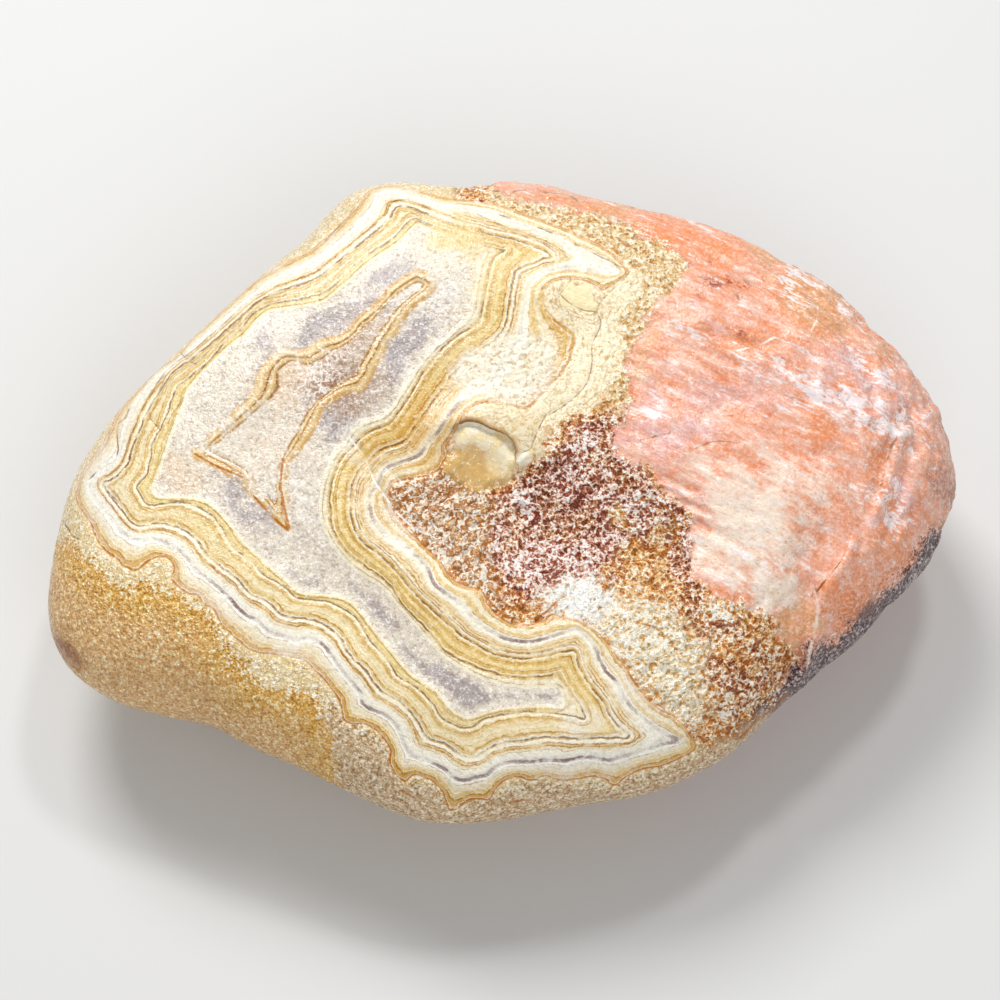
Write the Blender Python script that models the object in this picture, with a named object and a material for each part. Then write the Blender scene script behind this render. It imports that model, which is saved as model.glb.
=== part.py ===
# A Fairburn agate: one water-worn nodule lying on its flattest side.
# Metres, +Z up. The origin is under the middle of the stone, on the surface it lies on.

import math

import bmesh
import bpy
import numpy as np
from mathutils import Vector, noise

MM = 0.001

# Heights, in millimetres
TOP_HEIGHT = 21.5
TOP_TILT = 0.15
RIM_HEIGHT = 11.0
UNDERSIDE_SUNK = 0.8

# How full the shoulders are: 2 is an ellipse, more is boxier
SHOULDER_FULLNESS = 6.0
UNDERSIDE_FULLNESS = 2.3

# Mesh: more of it lies on the upper face, which has the detail
CUBE_CUTS = 27
TOPWARD_SHIFT = math.radians(20)

# The rim's nicks fade away from it, and the outline left under them is a few waves
RIM_STEPS = 6
RIM_ANGLE_STEP = 2
SMOOTH_RIM_WAVES = 5
NICK_FADE = 6

# Broad unevenness of a worn pebble, in millimetres
WORN_SWELL = 0.55
WORN_SPACING = 13.0
PEBBLE_DENTS = 0.16
DENT_SPACING = 4.2

# The rim seen from above, anticlockwise from the left end, in millimetres
RIM_OUTLINE = [
    (-36.6, -9.0), (-35.4, -13.5), (-32.2, -16.5), (-28.3, -18.1), (-23.6, -18.5),
    (-21.4, -20.2), (-16.6, -22.5), (-12.0, -25.0), (-9.4, -26.3), (-6.5, -27.2),
    (-3.6, -27.4), (-0.4, -26.9), (6.0, -25.4), (10.7, -24.7), (14.4, -23.5),
    (18.6, -20.6), (22.4, -17.0), (26.2, -13.8), (30.5, -9.2), (34.2, -4.9),
    (36.1, -0.8), (36.6, 3.2), (34.8, 8.0), (31.0, 13.0), (26.4, 17.3),
    (21.3, 20.5), (16.6, 22.7), (11.9, 24.6), (5.6, 26.1), (0.4, 26.9),
    (-2.6, 25.4), (-6.5, 26.5), (-9.9, 27.3), (-13.7, 26.6), (-16.2, 23.0),
    (-17.4, 20.9), (-21.4, 17.6), (-27.4, 11.6), (-32.7, 5.0), (-35.4, -1.0),
]

# Rounded swells and hollows of the face: centre, half widths, turn in degrees, rise
FACE_FORMS = {
    "sandy_lobe": ((-27.0, -12.0), (8.0, 5.0), -20, 0.8),
    "banded_crown": ((-9.0, 10.0), (14.0, 8.0), 35, 0.6),
    "pink_crown": ((17.0, 5.0), (11.0, 8.0), -30, 0.8),
    "crystal_hollow": ((2.5, -6.5), (5.5, 3.8), -15, -1.8),
    "rust_hollow": ((11.5, -8.0), (3.6, 3.6), 0, -1.2),
    "honey_dimple": ((-1.2, -1.4), (3.2, 1.9), -10, -1.1),
    "eye_boss": ((3.3, 12.6), (3.0, 2.2), -20, 0.5),
    "end_boss": ((33.0, -1.0), (3.0, 4.5), 0, 0.8),
    "side_lump": ((27.0, -10.5), (2.6, 4.0), -35, 1.2),
}

# Long grooves and folds: the points they run through, half width, rise
FACE_LINES = {
    "grey_channel": (((-14.0, 10.0), (-19.0, 0.0), (-17.0, -8.0), (-9.0, -14.5), (4.0, -18.5)), 2.6, -0.4),
    "honey_ledge": (((-4.6, 1.2), (-1.8, 2.4), (0.8, 1.4), (2.0, -0.8)), 1.3, 0.9),
    "side_groove": (((24.2, -7.0), (23.3, -11.0), (21.5, -16.5)), 1.5, -1.4),
    "upper_fold": (((15.0, 9.5), (23.0, 6.5), (30.0, 2.0)), 1.7, 0.6),
    "middle_fold": (((14.0, 4.0), (22.0, 0.5), (27.0, -3.5)), 1.8, -0.5),
    "end_crack": (((33.5, 6.0), (30.5, 1.0), (29.8, -5.0)), 1.1, -0.7),
    "fault_step": (((-12.0, 0.0), (-9.5, -4.0), (-5.0, -9.0)), 1.2, -0.5),
}


def closed_curve(points, steps):
    """A smooth closed curve through the points, with that many steps between two of them."""
    points = np.array(points)
    before, after = np.roll(points, 1, axis=0), np.roll(points, -1, axis=0)
    second = np.roll(points, -2, axis=0)
    spots = []
    for t in np.arange(steps) / steps:
        spots.append(0.5 * (2 * points + (after - before) * t
                            + (2 * before - 5 * points + 4 * after - second) * t ** 2
                            + (3 * points - before - 3 * after + second) * t ** 3))
    return np.stack(spots, axis=1).reshape(-1, 2)


def rim_tables():
    """The angles round the rim, its radii there, and those radii with the nicks smoothed away."""
    curve = closed_curve(RIM_OUTLINE, RIM_STEPS)
    angles = np.arctan2(curve[:, 1], curve[:, 0])
    even = np.radians(np.arange(-180, 180, RIM_ANGLE_STEP))
    radii = np.interp(even, angles, np.hypot(curve[:, 0], curve[:, 1]), period=2 * math.pi)
    waves = np.fft.rfft(radii)
    waves[SMOOTH_RIM_WAVES:] = 0
    return even, radii, np.fft.irfft(waves, len(even))


def form_rise(x, y):
    """Rise of the rounded forms at a place on the face, in millimetres."""
    rise = 0.0
    for (cx, cy), (wide, deep), turn, height in FACE_FORMS.values():
        c, s = math.cos(math.radians(turn)), math.sin(math.radians(turn))
        along = ((x - cx) * c + (y - cy) * s) / wide
        across = ((y - cy) * c - (x - cx) * s) / deep
        rise += height * math.exp(-along ** 2 - across ** 2)
    return rise


def line_rise(x, y):
    """Rise of the grooves and folds at a place on the face, in millimetres."""
    spot = Vector((x, y))
    rise = 0.0
    for points, width, height in FACE_LINES.values():
        nearest = 1e9
        for a, b in zip(points, points[1:]):
            a, b = Vector(a), Vector(b)
            share = max(0.0, min(1.0, (spot - a).dot(b - a) / (b - a).length_squared))
            nearest = min(nearest, (spot - a - (b - a) * share).length)
        rise += height * math.exp(-(nearest / width) ** 2)
    return rise


def worn_rise(spot):
    """Broad swells and small dents that wear leaves all over, in millimetres."""
    swell = noise.noise(spot / WORN_SPACING + Vector((3.1, 7.7, 1.9)))
    dents = noise.noise(spot / DENT_SPACING + Vector((11.3, 2.2, 5.8)))
    return WORN_SWELL * swell + PEBBLE_DENTS * dents


def stone_point(direction, angles, radii, smooth_radii):
    """Where a direction from the middle of the stone meets its skin, in millimetres."""
    turn = math.atan2(direction.y, direction.x)
    latitude = math.asin(max(-1.0, min(1.0, direction.z)))
    latitude += TOPWARD_SHIFT * math.cos(latitude)
    share = math.cos(latitude)
    rim = float(np.interp(turn, angles, radii, period=2 * math.pi))
    smooth_rim = float(np.interp(turn, angles, smooth_radii, period=2 * math.pi))
    radius = share * (smooth_rim + (rim - smooth_rim) * share ** NICK_FADE)
    x, y = radius * math.cos(turn), radius * math.sin(turn)
    if latitude > 0:
        crown = TOP_HEIGHT + TOP_TILT * y + form_rise(x, y) + line_rise(x, y)
        z = RIM_HEIGHT + (crown - RIM_HEIGHT) * math.sqrt(max(0.0, 1 - share ** SHOULDER_FULLNESS))
    else:
        drop = RIM_HEIGHT + UNDERSIDE_SUNK
        z = RIM_HEIGHT - drop * math.sqrt(max(0.0, 1 - share ** UNDERSIDE_FULLNESS))
    spot = Vector((x, y, z))
    return spot + direction * worn_rise(spot)


def rounded_cube():
    """A cube cut into a fine grid of squares and blown up into a ball of radius 1."""
    bm = bmesh.new()
    bmesh.ops.create_cube(bm, size=2.0)
    bmesh.ops.subdivide_edges(bm, edges=bm.edges[:], cuts=CUBE_CUTS, use_grid_fill=True)
    for vert in bm.verts:
        vert.co = Vector([math.tan(part * math.pi / 4) for part in vert.co]).normalized()
    return bm


def stone_material():
    material = bpy.data.materials.new("banded_chalcedony")
    material.use_nodes = True
    shader = material.node_tree.nodes["Principled BSDF"]
    shader.inputs["Base Color"].default_value = (0.62, 0.42, 0.24, 1.0)
    shader.inputs["Roughness"].default_value = 0.38
    shader.inputs["Metallic"].default_value = 0.0
    return material


def make_stone():
    tables = rim_tables()
    bm = rounded_cube()
    for vert in bm.verts:
        vert.co = stone_point(vert.co.normalized(), *tables)
        vert.co.z = max(0.0, vert.co.z)
    low = Vector([min(v.co[i] for v in bm.verts) for i in range(3)])
    high = Vector([max(v.co[i] for v in bm.verts) for i in range(3)])
    middle = Vector(((low.x + high.x) / 2, (low.y + high.y) / 2, low.z))
    for vert in bm.verts:
        vert.co = (vert.co - middle) * MM
    bmesh.ops.recalc_face_normals(bm, faces=bm.faces[:])
    mesh = bpy.data.meshes.new("agate_nodule")
    bm.to_mesh(mesh)
    bm.free()
    mesh.shade_smooth()
    mesh.materials.append(stone_material())
    stone = bpy.data.objects.new("agate_nodule", mesh)
    bpy.context.scene.collection.objects.link(stone)
    return stone


for old in list(bpy.data.objects):
    bpy.data.objects.remove(old)
make_stone()
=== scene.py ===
# The looks of one banded agate nodule: its bands, crystals, pink jasper end and rind.
# Metres, +Z up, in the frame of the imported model.

import math

import bmesh
import bpy
import numpy as np
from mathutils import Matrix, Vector, kdtree, noise


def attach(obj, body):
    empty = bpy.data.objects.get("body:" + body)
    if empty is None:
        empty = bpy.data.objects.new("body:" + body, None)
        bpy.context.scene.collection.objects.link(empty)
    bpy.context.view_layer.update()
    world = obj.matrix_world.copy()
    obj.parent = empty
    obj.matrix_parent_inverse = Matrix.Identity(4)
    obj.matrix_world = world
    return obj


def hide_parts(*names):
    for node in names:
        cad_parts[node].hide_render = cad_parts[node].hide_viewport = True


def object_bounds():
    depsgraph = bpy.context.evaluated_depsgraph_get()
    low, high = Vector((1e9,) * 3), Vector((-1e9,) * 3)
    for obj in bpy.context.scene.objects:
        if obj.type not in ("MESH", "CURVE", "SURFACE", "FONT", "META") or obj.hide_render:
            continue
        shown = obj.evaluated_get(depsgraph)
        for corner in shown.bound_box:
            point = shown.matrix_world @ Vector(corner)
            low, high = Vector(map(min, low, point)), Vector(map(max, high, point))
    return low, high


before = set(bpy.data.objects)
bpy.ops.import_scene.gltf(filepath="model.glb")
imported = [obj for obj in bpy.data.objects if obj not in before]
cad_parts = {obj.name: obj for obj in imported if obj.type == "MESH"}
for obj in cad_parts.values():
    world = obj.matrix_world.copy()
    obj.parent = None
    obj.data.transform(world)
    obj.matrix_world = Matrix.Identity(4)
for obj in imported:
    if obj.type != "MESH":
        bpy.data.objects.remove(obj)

cadLow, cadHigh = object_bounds()
millimetre = 0.001

# The camera looks at the stone as the photograph does. Lines traced on the photograph are in
# its pixels, about 0.08 mm each on the stone, and photoPixels() puts the stone's points there.
view = {
    "elevation": 65.0,
    "lens": 100.0,
    "sensor": 36.0,
    "aim": (-0.5, -1.3, 14.0),
    "distance": 222.22,
    "photoSize": 1000.0,
}

# The edges between the main bands, from the grey heart outwards, each inside the next
bandLoops = {
    "greyEdge": [
        (417, 226), (407, 236), (396, 246), (384, 254), (371, 263), (359, 273), (347, 284), (335, 294),
        (324, 302), (311, 306), (297, 308), (283, 310), (270, 312), (262, 318), (254, 326), (245, 335),
        (235, 343), (224, 352), (213, 362), (204, 372), (196, 382), (189, 392), (184, 404), (179, 418),
        (174, 432), (168, 448), (163, 464), (158, 478), (154, 488), (157, 495), (170, 497), (185, 497),
        (198, 498), (209, 502), (219, 510), (228, 520), (236, 530), (243, 540), (252, 548), (262, 558),
        (273, 568), (284, 578), (294, 588), (304, 593), (318, 594), (332, 595), (345, 598), (355, 604),
        (363, 613), (370, 623), (378, 633), (386, 642), (393, 651), (400, 660), (408, 669), (417, 677),
        (428, 684), (439, 692), (447, 702), (455, 711), (466, 716), (478, 715), (490, 711), (505, 708),
        (522, 707), (540, 706), (552, 706), (561, 707), (562, 698), (558, 688), (545, 688), (525, 688),
        (506, 686), (488, 681), (471, 674), (456, 666), (443, 656), (432, 646), (424, 636), (414, 625),
        (403, 613), (393, 601), (386, 592), (376, 584), (364, 577), (352, 568), (342, 558), (333, 547),
        (326, 535), (321, 522), (319, 508), (320, 494), (323, 481), (327, 468), (333, 456), (341, 446),
        (347, 438), (352, 430), (361, 423), (371, 419), (382, 416), (389, 410), (395, 402), (401, 392),
        (407, 383), (413, 373), (420, 363), (427, 354), (436, 345), (446, 337), (456, 328), (465, 320),
        (471, 312), (473, 300), (475, 286), (478, 272), (481, 260), (485, 252), (476, 247), (462, 242),
        (448, 237), (434, 232), (424, 228),
    ],
    "firstLine": [
        (412, 219), (403, 228), (395, 236), (386, 243), (378, 248), (369, 254), (360, 261), (351, 269),
        (343, 278), (333, 286), (323, 293), (310, 297), (297, 300), (283, 302), (269, 305), (258, 310),
        (249, 318), (242, 328), (232, 336), (222, 345), (214, 355), (206, 364), (196, 372), (186, 380),
        (178, 386), (173, 395), (170, 405), (166, 416), (161, 427), (156, 436), (152, 446), (151, 456),
        (149, 465), (146, 475), (140, 482), (136, 487), (140, 494), (144, 501), (148, 505), (157, 505),
        (168, 503), (180, 502), (191, 504), (200, 508), (209, 513), (216, 520), (222, 528), (227, 536),
        (231, 544), (237, 551), (245, 557), (253, 563), (260, 571), (267, 577), (276, 581), (285, 587),
        (293, 595), (302, 599), (315, 600), (328, 602), (340, 607), (350, 613), (358, 620), (363, 628),
        (367, 636), (373, 644), (380, 651), (387, 659), (392, 667), (396, 674), (403, 679), (412, 684),
        (420, 690), (427, 698), (434, 705), (438, 713), (444, 720), (453, 724), (463, 728), (472, 727),
        (481, 721), (492, 717), (505, 714), (520, 712), (537, 712), (555, 713), (572, 716), (585, 719),
        (580, 706), (574, 696), (567, 686), (562, 678), (558, 673), (548, 676), (533, 677), (517, 677),
        (502, 675), (490, 671), (479, 668), (468, 663), (457, 658), (447, 652), (440, 645), (434, 637),
        (426, 628), (417, 619), (408, 610), (401, 602), (396, 594), (391, 586), (384, 579), (376, 573),
        (367, 567), (359, 561), (350, 554), (342, 545), (336, 536), (332, 526), (331, 513), (330, 500),
        (331, 487), (334, 475), (338, 465), (344, 455), (352, 447), (358, 441), (364, 435), (372, 430),
        (381, 427), (389, 424), (395, 417), (402, 407), (409, 397), (416, 385), (421, 376), (427, 367),
        (434, 358), (443, 348), (453, 339), (463, 332), (473, 326), (480, 320), (482, 310), (484, 298),
        (487, 285), (489, 273), (492, 262), (497, 255), (506, 250), (500, 249), (488, 246), (474, 241),
        (460, 235), (447, 230), (434, 226), (423, 222),
    ],
    "middleLine": [
        (396, 207), (391, 217), (383, 224), (373, 233), (362, 242), (351, 251), (340, 260), (330, 268),
        (320, 276), (308, 282), (294, 287), (281, 291), (268, 296), (257, 302), (247, 311), (237, 320),
        (227, 329), (217, 338), (207, 347), (196, 356), (184, 364), (173, 372), (166, 381), (159, 391),
        (153, 401), (147, 411), (143, 421), (139, 432), (134, 443), (131, 453), (128, 463), (121, 472),
        (112, 479), (103, 483), (107, 491), (113, 499), (119, 507), (125, 515), (131, 522), (139, 526),
        (150, 524), (161, 523), (172, 525), (182, 529), (191, 535), (199, 543), (206, 553), (214, 561),
        (223, 568), (232, 574), (240, 581), (246, 589), (254, 595), (264, 599), (272, 605), (280, 613),
        (290, 617), (302, 618), (313, 620), (323, 624), (332, 630), (340, 637), (345, 646), (351, 656),
        (359, 664), (367, 672), (373, 681), (380, 690), (390, 696), (401, 702), (410, 711), (417, 720),
        (422, 730), (428, 738), (437, 741), (446, 744), (455, 750), (464, 756), (474, 757), (483, 752),
        (493, 746), (505, 742), (518, 741), (532, 739), (545, 737), (560, 737), (575, 739), (590, 738),
        (605, 738), (617, 738), (629, 737), (622, 730), (614, 721), (608, 713), (604, 704), (598, 695),
        (591, 687), (585, 678), (580, 669), (577, 660), (574, 651), (562, 652), (549, 656), (535, 658),
        (520, 659), (505, 657), (494, 654), (484, 649), (475, 644), (466, 639), (457, 632), (448, 624),
        (439, 616), (430, 608), (421, 600), (412, 591), (404, 581), (396, 572), (388, 563), (379, 555),
        (370, 548), (362, 541), (356, 532), (352, 522), (350, 511), (350, 500), (351, 489), (354, 478),
        (359, 469), (366, 462), (373, 456), (380, 450), (390, 446), (400, 443), (407, 438), (413, 429),
        (420, 419), (427, 409), (434, 399), (441, 390), (448, 380), (456, 371), (464, 362), (473, 354),
        (483, 347), (493, 341), (501, 333), (506, 322), (508, 309), (510, 296), (512, 283), (515, 272),
        (524, 265), (535, 262), (544, 258), (551, 256), (543, 250), (530, 245), (516, 240), (502, 237),
        (488, 234), (474, 230), (460, 226), (446, 221), (432, 215), (420, 211), (408, 206),
    ],
    "purpleBand": [
        (377, 196), (375, 206), (369, 214), (361, 223), (351, 233), (341, 242), (330, 251), (318, 259),
        (305, 266), (291, 272), (277, 279), (264, 287), (252, 296), (241, 305), (230, 315), (219, 324),
        (208, 334), (197, 343), (186, 353), (175, 362), (164, 371), (154, 380), (146, 389), (139, 399),
        (133, 410), (128, 421), (125, 432), (122, 444), (118, 455), (111, 464), (103, 471), (95, 477),
        (89, 484), (91, 493), (97, 502), (105, 511), (112, 520), (119, 529), (127, 536), (137, 540),
        (148, 539), (160, 541), (171, 546), (181, 552), (188, 560), (194, 568), (204, 576), (214, 584),
        (223, 592), (232, 600), (239, 609), (248, 616), (258, 621), (265, 629), (274, 634), (285, 637),
        (296, 640), (306, 638), (316, 640), (325, 647), (332, 656), (339, 666), (347, 677), (355, 686),
        (361, 694), (362, 703), (371, 709), (383, 714), (393, 722), (400, 733), (404, 744), (410, 755),
        (421, 759), (433, 763), (445, 769), (454, 778), (464, 780), (476, 777), (486, 775), (495, 768),
        (506, 763), (520, 762), (535, 762), (550, 760), (565, 761), (580, 758), (595, 758), (608, 760),
        (621, 757), (635, 753), (650, 749), (665, 744), (680, 740), (668, 735), (656, 728), (644, 719),
        (634, 710), (627, 701), (621, 690), (615, 680), (607, 672), (601, 662), (597, 651), (591, 641),
        (584, 633), (576, 629), (565, 632), (553, 636), (540, 640), (526, 642), (512, 640), (500, 636),
        (489, 630), (479, 624), (470, 616), (463, 607), (455, 599), (445, 593), (436, 586), (431, 577),
        (428, 568), (420, 559), (410, 550), (400, 543), (389, 537), (380, 529), (373, 519), (370, 508),
        (370, 498), (374, 490), (379, 482), (383, 473), (390, 467), (400, 463), (411, 459), (421, 453),
        (427, 444), (434, 436), (441, 428), (447, 418), (453, 410), (461, 402), (471, 396), (482, 390),
        (492, 382), (500, 372), (507, 361), (514, 349), (520, 336), (523, 322), (525, 308), (527, 294),
        (531, 283), (540, 276), (551, 271), (564, 268), (578, 268), (592, 270), (605, 272), (618, 273),
        (610, 263), (598, 256), (585, 251), (573, 247), (564, 239), (552, 234), (539, 230), (526, 225),
        (513, 220), (500, 214), (487, 211), (473, 208), (459, 207), (445, 206), (432, 202), (419, 198),
        (406, 195), (392, 191),
    ],
    "huskLine": [
        (362, 198), (358, 206), (351, 213), (344, 221), (336, 228), (328, 235), (319, 243), (309, 252),
        (298, 257), (284, 264), (270, 271), (257, 279), (245, 290), (232, 302), (219, 314), (206, 326),
        (193, 338), (183, 350), (174, 359), (162, 366), (151, 376), (142, 387), (132, 397), (122, 407),
        (114, 418), (109, 430), (102, 442), (94, 454), (87, 465), (81, 476), (77, 488), (76, 500),
        (82, 511), (89, 521), (94, 533), (100, 544), (108, 553), (117, 559), (122, 565), (134, 571),
        (143, 566), (152, 559), (162, 557), (170, 560), (174, 569), (171, 579), (178, 587), (188, 594),
        (197, 596), (204, 604), (213, 609), (218, 619), (227, 630), (238, 641), (250, 650), (264, 654),
        (278, 655), (291, 657), (303, 660), (312, 668), (321, 677), (329, 686), (336, 696), (341, 708),
        (343, 720), (352, 724), (363, 724), (374, 729), (383, 738), (390, 749), (389, 761), (394, 771),
        (404, 782), (414, 775), (425, 778), (435, 783), (442, 792), (446, 803), (450, 811), (459, 808),
        (468, 801), (479, 799), (489, 800), (495, 790), (505, 781), (517, 777), (531, 781), (545, 776),
        (560, 781), (575, 780), (590, 777), (603, 778), (614, 785), (627, 777), (642, 770), (657, 767),
        (672, 762), (686, 755), (696, 748), (690, 736), (682, 724), (672, 715), (660, 709), (650, 702),
        (641, 692), (634, 681), (628, 671), (621, 661), (613, 651), (606, 641), (598, 633), (588, 626),
        (576, 620), (563, 617), (552, 614), (543, 620), (530, 624), (515, 624), (504, 619), (495, 612),
        (487, 602), (483, 592), (474, 587), (463, 584), (453, 578), (445, 568), (438, 559), (430, 551),
        (421, 543), (412, 534), (404, 525), (396, 514), (391, 505), (388, 498), (390, 489), (396, 482),
        (404, 479), (415, 477), (426, 476), (435, 472), (442, 465), (447, 456), (447, 446), (452, 437),
        (457, 428), (461, 419), (467, 411), (476, 405), (487, 402), (499, 402), (511, 405), (523, 409),
        (533, 405), (541, 396), (550, 386), (560, 376), (568, 364), (573, 350), (575, 337), (568, 328),
        (556, 320), (547, 310), (543, 298), (546, 288), (555, 281), (568, 279), (582, 280), (595, 285),
        (603, 290), (612, 285), (621, 278), (629, 272), (622, 262), (611, 252), (599, 244), (586, 238),
        (573, 232), (559, 226), (545, 221), (531, 216), (517, 211), (503, 206), (489, 202), (474, 200),
        (459, 199), (446, 198), (434, 195), (422, 191), (409, 188), (395, 186), (381, 187), (370, 191),
    ],
}
innerLoops = {
    "outerEdge": [
        (418, 271), (408, 275), (399, 281), (390, 288), (383, 297), (375, 305), (366, 312), (357, 320),
        (350, 329), (340, 336), (328, 339), (317, 343), (306, 350), (295, 351), (284, 350), (274, 356),
        (266, 365), (259, 376), (256, 389), (248, 401), (238, 409), (229, 419), (218, 429), (208, 438),
        (200, 447), (193, 454), (201, 461), (214, 466), (227, 473), (238, 481), (247, 489), (256, 499),
        (266, 508), (276, 519), (290, 529), (290, 515), (288, 500), (286, 485), (287, 470), (292, 458),
        (299, 449), (306, 439), (313, 428), (318, 417), (323, 406), (333, 399), (343, 393), (353, 391),
        (362, 388), (369, 378), (375, 366), (382, 354), (388, 342), (396, 331), (402, 320), (410, 309),
        (419, 301), (430, 293), (438, 281), (429, 275),
    ],
    "innerEdge": [
        (416, 279), (406, 284), (397, 291), (388, 298), (378, 309), (370, 318), (361, 325), (354, 333),
        (345, 341), (333, 347), (322, 355), (310, 361), (300, 359), (290, 358), (281, 364), (275, 372),
        (276, 385), (270, 394), (262, 402), (252, 410), (243, 418), (232, 427), (221, 436), (212, 443),
        (206, 450), (216, 457), (230, 463), (240, 469), (248, 477), (256, 486), (265, 497), (272, 507),
        (279, 513), (279, 498), (279, 482), (283, 465), (290, 450), (297, 438), (303, 426), (309, 414),
        (317, 405), (328, 396), (338, 388), (349, 381), (358, 376), (363, 366), (369, 355), (375, 343),
        (382, 332), (390, 322), (398, 312), (407, 303), (416, 296), (424, 288), (426, 282),
    ],
}

# A line along the middle of the grey heart: the bands on its two sides differ
heartLine = [
    (455, 190), (452, 232), (450, 262), (430, 310), (395, 365), (345, 415), (312, 470), (300, 530),
    (335, 580), (375, 610), (420, 655), (470, 695), (530, 697), (575, 700), (640, 722), (700, 745),
]

# Steps in the face: rise in millimetres, reach in pixels, and the line with the high side on its left
lips = {
    "lip": (0.34, 9.0, [(460, 424), (468, 421), (480, 423), (490, 428), (500, 432), (509, 437), (514, 445),
                        (516, 453)]),
    "grooveLip": (0.42, 12.0, [(847, 548), (838, 562), (826, 578), (817, 594), (814, 612), (812, 632),
                               (806, 652), (798, 672)]),
    "endLip": (0.30, 12.0, [(924, 412), (906, 426), (895, 436), (891, 455), (886, 472), (879, 492),
                            (872, 512)]),
    "shelfLip": (-0.25, 10.0, [(755, 358), (790, 374), (825, 392), (860, 410), (895, 428)]),
    "upperLip": (-0.22, 9.0, [(800, 345), (835, 362), (870, 384), (905, 408)]),
}

# Outlines of the parts outside and inside the bands
patches = {
    "jasper": [
        (490, 170), (500, 192), (520, 200), (545, 205), (570, 210), (600, 214), (630, 222), (642, 235),
        (656, 240), (668, 248), (680, 262), (680, 280), (670, 292), (660, 303), (650, 318), (640, 330),
        (630, 345), (625, 360), (628, 372), (635, 385), (628, 400), (622, 420), (612, 432), (612, 445),
        (622, 455), (632, 464), (650, 470), (662, 485), (666, 497), (680, 505), (694, 515), (690, 530),
        (692, 552), (690, 570), (700, 585), (716, 597), (735, 600), (746, 601), (752, 610), (766, 613),
        (778, 622), (776, 633), (790, 645), (797, 656), (795, 670), (785, 686), (790, 720), (860, 720),
        (1000, 600), (1000, 380), (880, 260), (720, 200), (560, 160),
    ],
    "sugar": [
        (488, 190), (500, 204), (540, 222), (580, 238), (610, 252), (628, 270), (615, 286), (606, 294),
        (610, 320), (606, 345), (603, 372), (606, 395), (616, 412), (632, 400), (642, 385),
        (632, 365), (642, 335), (657, 315), (676, 290), (690, 268), (672, 243), (642, 222), (600, 208),
        (550, 198), (515, 190),
    ],
    "creamField": [
        (540, 272), (575, 262), (630, 266), (640, 290), (618, 315), (622, 345), (612, 375), (604, 398),
        (585, 412), (560, 418), (548, 434), (542, 452), (528, 464), (510, 454), (490, 444), (466, 440),
        (450, 426), (470, 400), (520, 396), (548, 372), (560, 345), (545, 315),
    ],
    "redCrystals": [
        (545, 455), (562, 436), (590, 418), (612, 412), (634, 392), (644, 410), (634, 440), (640, 470),
        (664, 492), (690, 520), (700, 560), (690, 590), (664, 560), (640, 545), (622, 570), (600, 586),
        (560, 592), (540, 600), (515, 592), (498, 582), (486, 566), (480, 545), (482, 520), (488, 500),
        (505, 490), (526, 474),
    ],
    "honeycomb": [
        (400, 484), (425, 480), (445, 476), (470, 484), (486, 498), (490, 520), (486, 548), (492, 572),
        (500, 592), (492, 606), (478, 594), (458, 582), (444, 566), (430, 548), (414, 532), (400, 514),
        (392, 498),
    ],
    "dimple": [
        (452, 438), (460, 424), (470, 418), (484, 420), (498, 428), (508, 438), (518, 450), (528, 447),
        (532, 456), (524, 468), (508, 482), (492, 492), (476, 490), (460, 482), (448, 472), (448, 455),
    ],
    "eye": [
        (560, 293), (570, 285), (583, 285), (594, 293), (600, 303), (597, 311), (586, 314), (573, 309),
        (563, 302),
    ],
    "whiteGranular": [
        (545, 590), (565, 580), (590, 577), (606, 584), (616, 598), (606, 612), (590, 620), (570, 616),
        (556, 612), (546, 602),
    ],
    "creamSwirl": [
        (590, 622), (606, 606), (632, 600), (662, 606), (682, 622), (698, 640), (704, 665), (700, 690),
        (696, 720), (676, 722), (660, 708), (646, 694), (634, 676), (620, 656), (606, 640),
    ],
    "speckled": [
        (452, 372), (462, 356), (478, 344), (498, 336), (520, 331), (540, 334), (556, 348), (562, 366),
        (552, 385), (538, 398), (524, 408), (508, 402), (490, 398), (474, 392), (460, 386),
    ],
    "sandyRind": [
        (64, 540), (75, 550), (86, 559), (97, 562), (106, 573), (116, 583), (130, 590), (143, 584),
        (156, 588), (172, 594), (188, 601), (201, 609), (213, 622), (219, 642), (230, 655), (244, 665),
        (253, 684), (272, 690), (298, 690), (315, 698), (323, 714), (328, 730), (336, 760), (330, 830),
        (180, 800), (20, 720), (10, 560),
    ],
    "huskRim": [
        (322, 712), (345, 722), (372, 735), (388, 752), (404, 780), (436, 786), (450, 812), (470, 802),
        (500, 795), (530, 786), (600, 786), (640, 776), (696, 752), (735, 735), (760, 720), (800, 700),
        (800, 760), (640, 860), (420, 860), (300, 800),
    ],
    "greyHusk": [
        (700, 768), (722, 748), (745, 728), (764, 708), (786, 688), (802, 664), (814, 644), (832, 644),
        (852, 628), (872, 606), (892, 582), (912, 558), (926, 538), (945, 530), (960, 580), (890, 680),
        (800, 750), (720, 800),
    ],
}

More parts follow.
